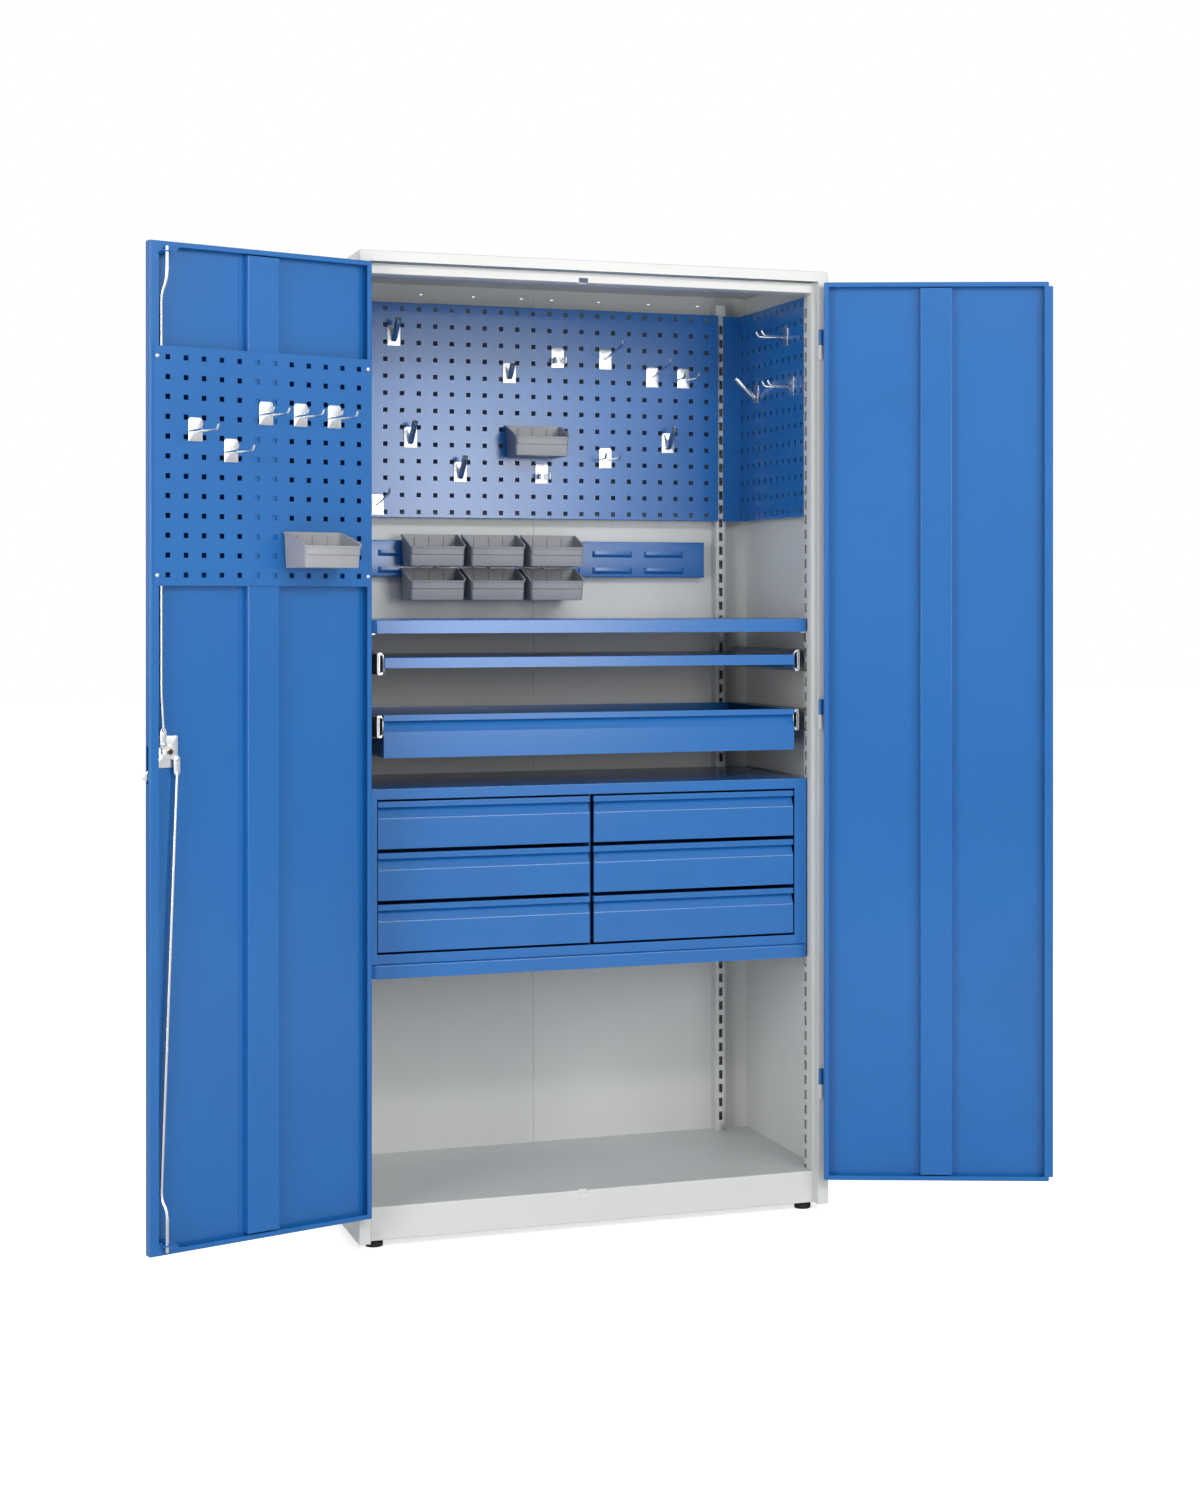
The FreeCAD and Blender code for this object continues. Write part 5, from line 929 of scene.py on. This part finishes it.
def leverGrip():
    # rounded rectangles down the lever: a little narrower and thinner in the middle, closed at both ends
    rows = []
    middle = (lock["gripFront"] + lock["gripBack"]) / 2
    depth, top = lock["gripBack"] - lock["gripFront"], lock["gripTop"]
    for share in np.linspace(0, 1, 25):
        # near an end the outline shrinks as a circle does: the root of one minus the end's share squared
        past = max(0.0, abs(share - 0.5) - (0.5 - lock["gripEnd"])) / lock["gripEnd"]
        bow = math.sin(math.pi * share)
        outline = roundedRectangle(lock["gripWidth"] * (1 - lock["waist"] * bow ** 2),
                                   depth * (1 - lock["thin"] * bow), lock["gripCorner"], 5)
        outline *= np.sqrt(max(0.0, 1 - past ** 2))
        rows.append(np.column_stack([outline[:, 0], middle + outline[:, 1],
                                     np.full(len(outline), top - (lock["gripLength"] + top) * share)]))
    return surface(rows, wrapColumns=True)


# profiles of (radius, Y) about the spindle
front, back, well = lock["gripFront"], lock["gripBack"], lock["barrel"] + lock["play"]
crown = [(0, back - 1.8), (well, back - 1.8), (well, front + 0.4), (well + 0.4, front), (13.6, front),
         (14.6, front + 0.5), (15, front + 1.6), (15, back - 1.5), (14, back), (0, back)]
boss = [(0, back - 0.2), (11, back - 0.2), (11, -9.2), (10.2, -8.3), (0, -8.3)]
spindle = [(0, back + 0.2), (lock["spindle"], back + 0.2), (lock["spindle"], 15.4), (4.4, 16), (0, 16)]
handle = [leverGrip(), lathe(crown, (0, 0, 0), "y", 40), lathe(boss, (0, 0, 0), "y", 32),
          lathe(spindle, (0, 0, 0), "y", 20)]
makePiece("leverHandle", onSpindle(handle), "black_plastic", "lock", stands=["lock_handle"])
circle = roundedRectangle(2 * lock["barrel"], 2 * lock["barrel"], lock["barrel"], 9)
keyway = roundedRectangle(*lock["keyway"], 9)
barrel = frontPlate(circle, lock["barrelLength"], lock["barrelEdge"], lock["barrelBack"], keyway)
makePiece("keyBarrel", onSpindle([barrel]), "zinc", "key_cylinder", stands=["lock_cylinder"])
arm = spindlePlate(armOutline(), lock["armSheet"], lock["armEdge"], lock["armBack"])
makePiece("latchArmBlade", onSpindle([arm]), "zinc", "lock", stands=["latch_arm"])
cam = spindlePlate(camOutline(), lock["camSheet"], lock["camEdge"], lock["camBack"])
makePiece("lockCamPlate", onSpindle([cam]), "zinc", "lock", stands=["lock_cam"])
corners = lock["nut"] * circlePoints(np.radians(np.arange(0, 360, 60)))
sides = np.linspace(0, 1, 5, endpoint=False)[None, :, None]
outline = (corners[:, None] * (1 - sides) + np.roll(corners, -1, axis=0)[:, None] * sides).reshape(-1, 2)
nut = spindlePlate(outline, lock["nutHeight"], lock["nutEdge"], lock["nutBack"])
makePiece("spindleNut", onSpindle([nut]), "brass", "lock", stands=["hub_nut"], sharpAngle=25)

spindlePlace = np.array([lock["x"], lock["z"]])
width, height, deep = lock["case"]
outline = roundedRectangle(width, height, lock["caseCorner"], 6) + spindlePlace
hole = circleToward(outline, spindlePlace, lock["bore"])
casePieces = [frontPlate(outline, deep, lock["caseEdge"], lock["caseBack"], hole)]
for way in (-1, 1):
    x, z = spindlePlace + way * np.array(lock["caseScrew"])
    casePieces.append(panHead(x, z, lock["caseBack"], *lock["caseHead"]))
makePiece("lockCaseBox", casePieces, "zinc", "left_door", stands=["lock_case"])
width, height, deep = lock["escutcheon"]
outline = roundedRectangle(width, height, lock["escutcheonCorner"], 8) + spindlePlace
outline[:, 1] -= lock["escutcheonDrop"]
hole = circleToward(outline, spindlePlace, lock["bore"])
escutcheon = frontPlate(outline, deep, lock["escutcheonEdge"], 0.0, hole)
makePiece("escutcheonShell", [escutcheon], "black_plastic", "left_door", stands=["lock_escutcheon"])
print("lock made")


# Rod guides: small flat plates with a hole that the rods run through, at the door's head and foot

rodGuides = {"low": (-43.0, 20.0), "high": (-23.0, 36.5), "hole": (-33.0, 28.5), "bore": 4.1, "sheet": 3.0,
             "corner": 2.0, "edge": 0.4, "levels": (94.0, 1997.0)}
middle = (np.array(rodGuides["low"]) + rodGuides["high"]) / 2
size = np.array(rodGuides["high"]) - rodGuides["low"]
outline = roundedRectangle(size[0], size[1], rodGuides["corner"], 6) + middle
hole = circleToward(outline, np.array(rodGuides["hole"]), rodGuides["bore"])
guidePlates = []
for level in rodGuides["levels"]:
    guidePlates.append(plate(outline, rodGuides["sheet"], rodGuides["edge"], lambda flat, rise:
                             np.column_stack([flat, np.full(len(flat), level + rise)]), hole))
makePiece("rodGuidePlates", guidePlates, "blue_coat", "left_door", stands=["rod_guides"])
print("rod guides made")


# Studio: a pale floor that keeps the shadow, soft lamps, and a plain white surround

# ambient: the surround's strength on the part; gloss: its strength in reflections
# floorLift: what the floor adds for the camera alone, so that it meets the white surround without a line
studio = {"ambient": 0.36, "gloss": 0.85, "floor": "#f2f2f2", "floorLift": 0.69, "floorHalf": 30,
          "floorDrop": 0.0006}
lamps = {
    # place, aim, width and height in metres, and watts; the key's mirror image is the haze on the front faces
    "key": ((1.2, -5.6, 1.7), (0.0, 0.1, 1.1), 1.1, 1.4, 58),
    "top": ((0.3, -4.0, 3.3), (0.0, 0.0, 1.0), 2.4, 0.4, 42),
    "side": ((4.0, -8.0, 4.6), (0.0, 0.0, 1.0), 2.5, 2.5, 170),
    "fill": ((-5.2, -3.6, 1.8), (0.0, 0.0, 1.0), 3.0, 3.0, 150),
    "rim": ((0.0, 3.6, 3.4), (0.0, 0.0, 1.4), 2.5, 2.5, 50),
}
for name, (place, aim, width, height, power) in lamps.items():
    lamp = bpy.data.lights.new(name + "Lamp", "AREA")
    lamp.shape = "RECTANGLE"
    lamp.size, lamp.size_y = width, height
    lamp.energy = power
    holder = inScene(name + "Lamp", lamp)
    holder.location = place
    away = np.array(aim) - np.array(place)
    flat = math.hypot(away[0], away[1])
    holder.rotation_euler = (math.atan2(flat, -away[2]), 0, math.atan2(-away[0], away[1]))

world = bpy.data.worlds.new("paleRoom")
bpy.context.scene.world = world
tree = clearedTree(world)
rays = addNode(tree, "ShaderNodeLightPath")
seen = addNode(tree, "ShaderNodeMath", {"operation": "MAXIMUM"},
               links={0: rays.outputs["Is Camera Ray"], 1: rays.outputs["Is Transmission Ray"]})
glossy = addNode(tree, "ShaderNodeMath", {"operation": "MULTIPLY"}, {1: studio["gloss"]},
                 {0: rays.outputs["Is Glossy Ray"]})
bright = addNode(tree, "ShaderNodeMath", {"operation": "MAXIMUM"},
                 links={0: seen.outputs[0], 1: glossy.outputs[0]})
strength = addNode(tree, "ShaderNodeMath", {"operation": "MAXIMUM"}, {1: studio["ambient"]},
                   {0: bright.outputs[0]})
sky = addNode(tree, "ShaderNodeBackground", values={"Color": (1, 1, 1, 1)},
              links={"Strength": strength.outputs[0]})
addNode(tree, "ShaderNodeOutputWorld", links={"Surface": sky.outputs[0]})

floorMesh = bpy.data.meshes.new("paleFloor")
half, level = studio["floorHalf"], -studio["floorDrop"]
corners = [(x * half, y * half, level) for x, y in ((-1, -1), (1, -1), (1, 1), (-1, 1))]
floorMesh.from_pydata(corners, [], [(0, 1, 2, 3)])
floorPaint = bpy.data.materials.new("paleFloorPaint")
tree = clearedTree(floorPaint)
matt = addNode(tree, "ShaderNodeBsdfDiffuse", values={"Color": linearColour(studio["floor"])})
rays = addNode(tree, "ShaderNodeLightPath")
lift = addNode(tree, "ShaderNodeMath", {"operation": "MULTIPLY"}, {1: studio["floorLift"]},
               {0: rays.outputs["Is Camera Ray"]})
glow = addNode(tree, "ShaderNodeEmission", links={"Strength": lift.outputs[0]})
both = addNode(tree, "ShaderNodeAddShader", links={0: matt.outputs[0], 1: glow.outputs[0]})
addNode(tree, "ShaderNodeOutputMaterial", links={"Surface": both.outputs[0]})
floorMesh.materials.append(floorPaint)
inScene("paleFloor", floorMesh)
print("studio lit")


# Camera: fitted to the photograph's frame of 1200 by 1502
view = {"place": (-1.53233, -5.23133, 1.32732), "yaw": 0.3528, "pitch": -0.0008,
        "lens": 60.187, "sensor": 36, "shift": (-0.101, -0.098)}
camera = bpy.data.cameras.new("photoCamera")
camera.sensor_width = view["sensor"]
camera.lens = view["lens"]
camera.shift_x, camera.shift_y = view["shift"]
holder = inScene("photoCamera", camera)
holder.location = view["place"]
holder.rotation_euler = (math.pi / 2 + view["pitch"], 0, -view["yaw"])
bpy.context.scene.camera = holder
bpy.context.scene.view_settings.view_transform = "Standard"
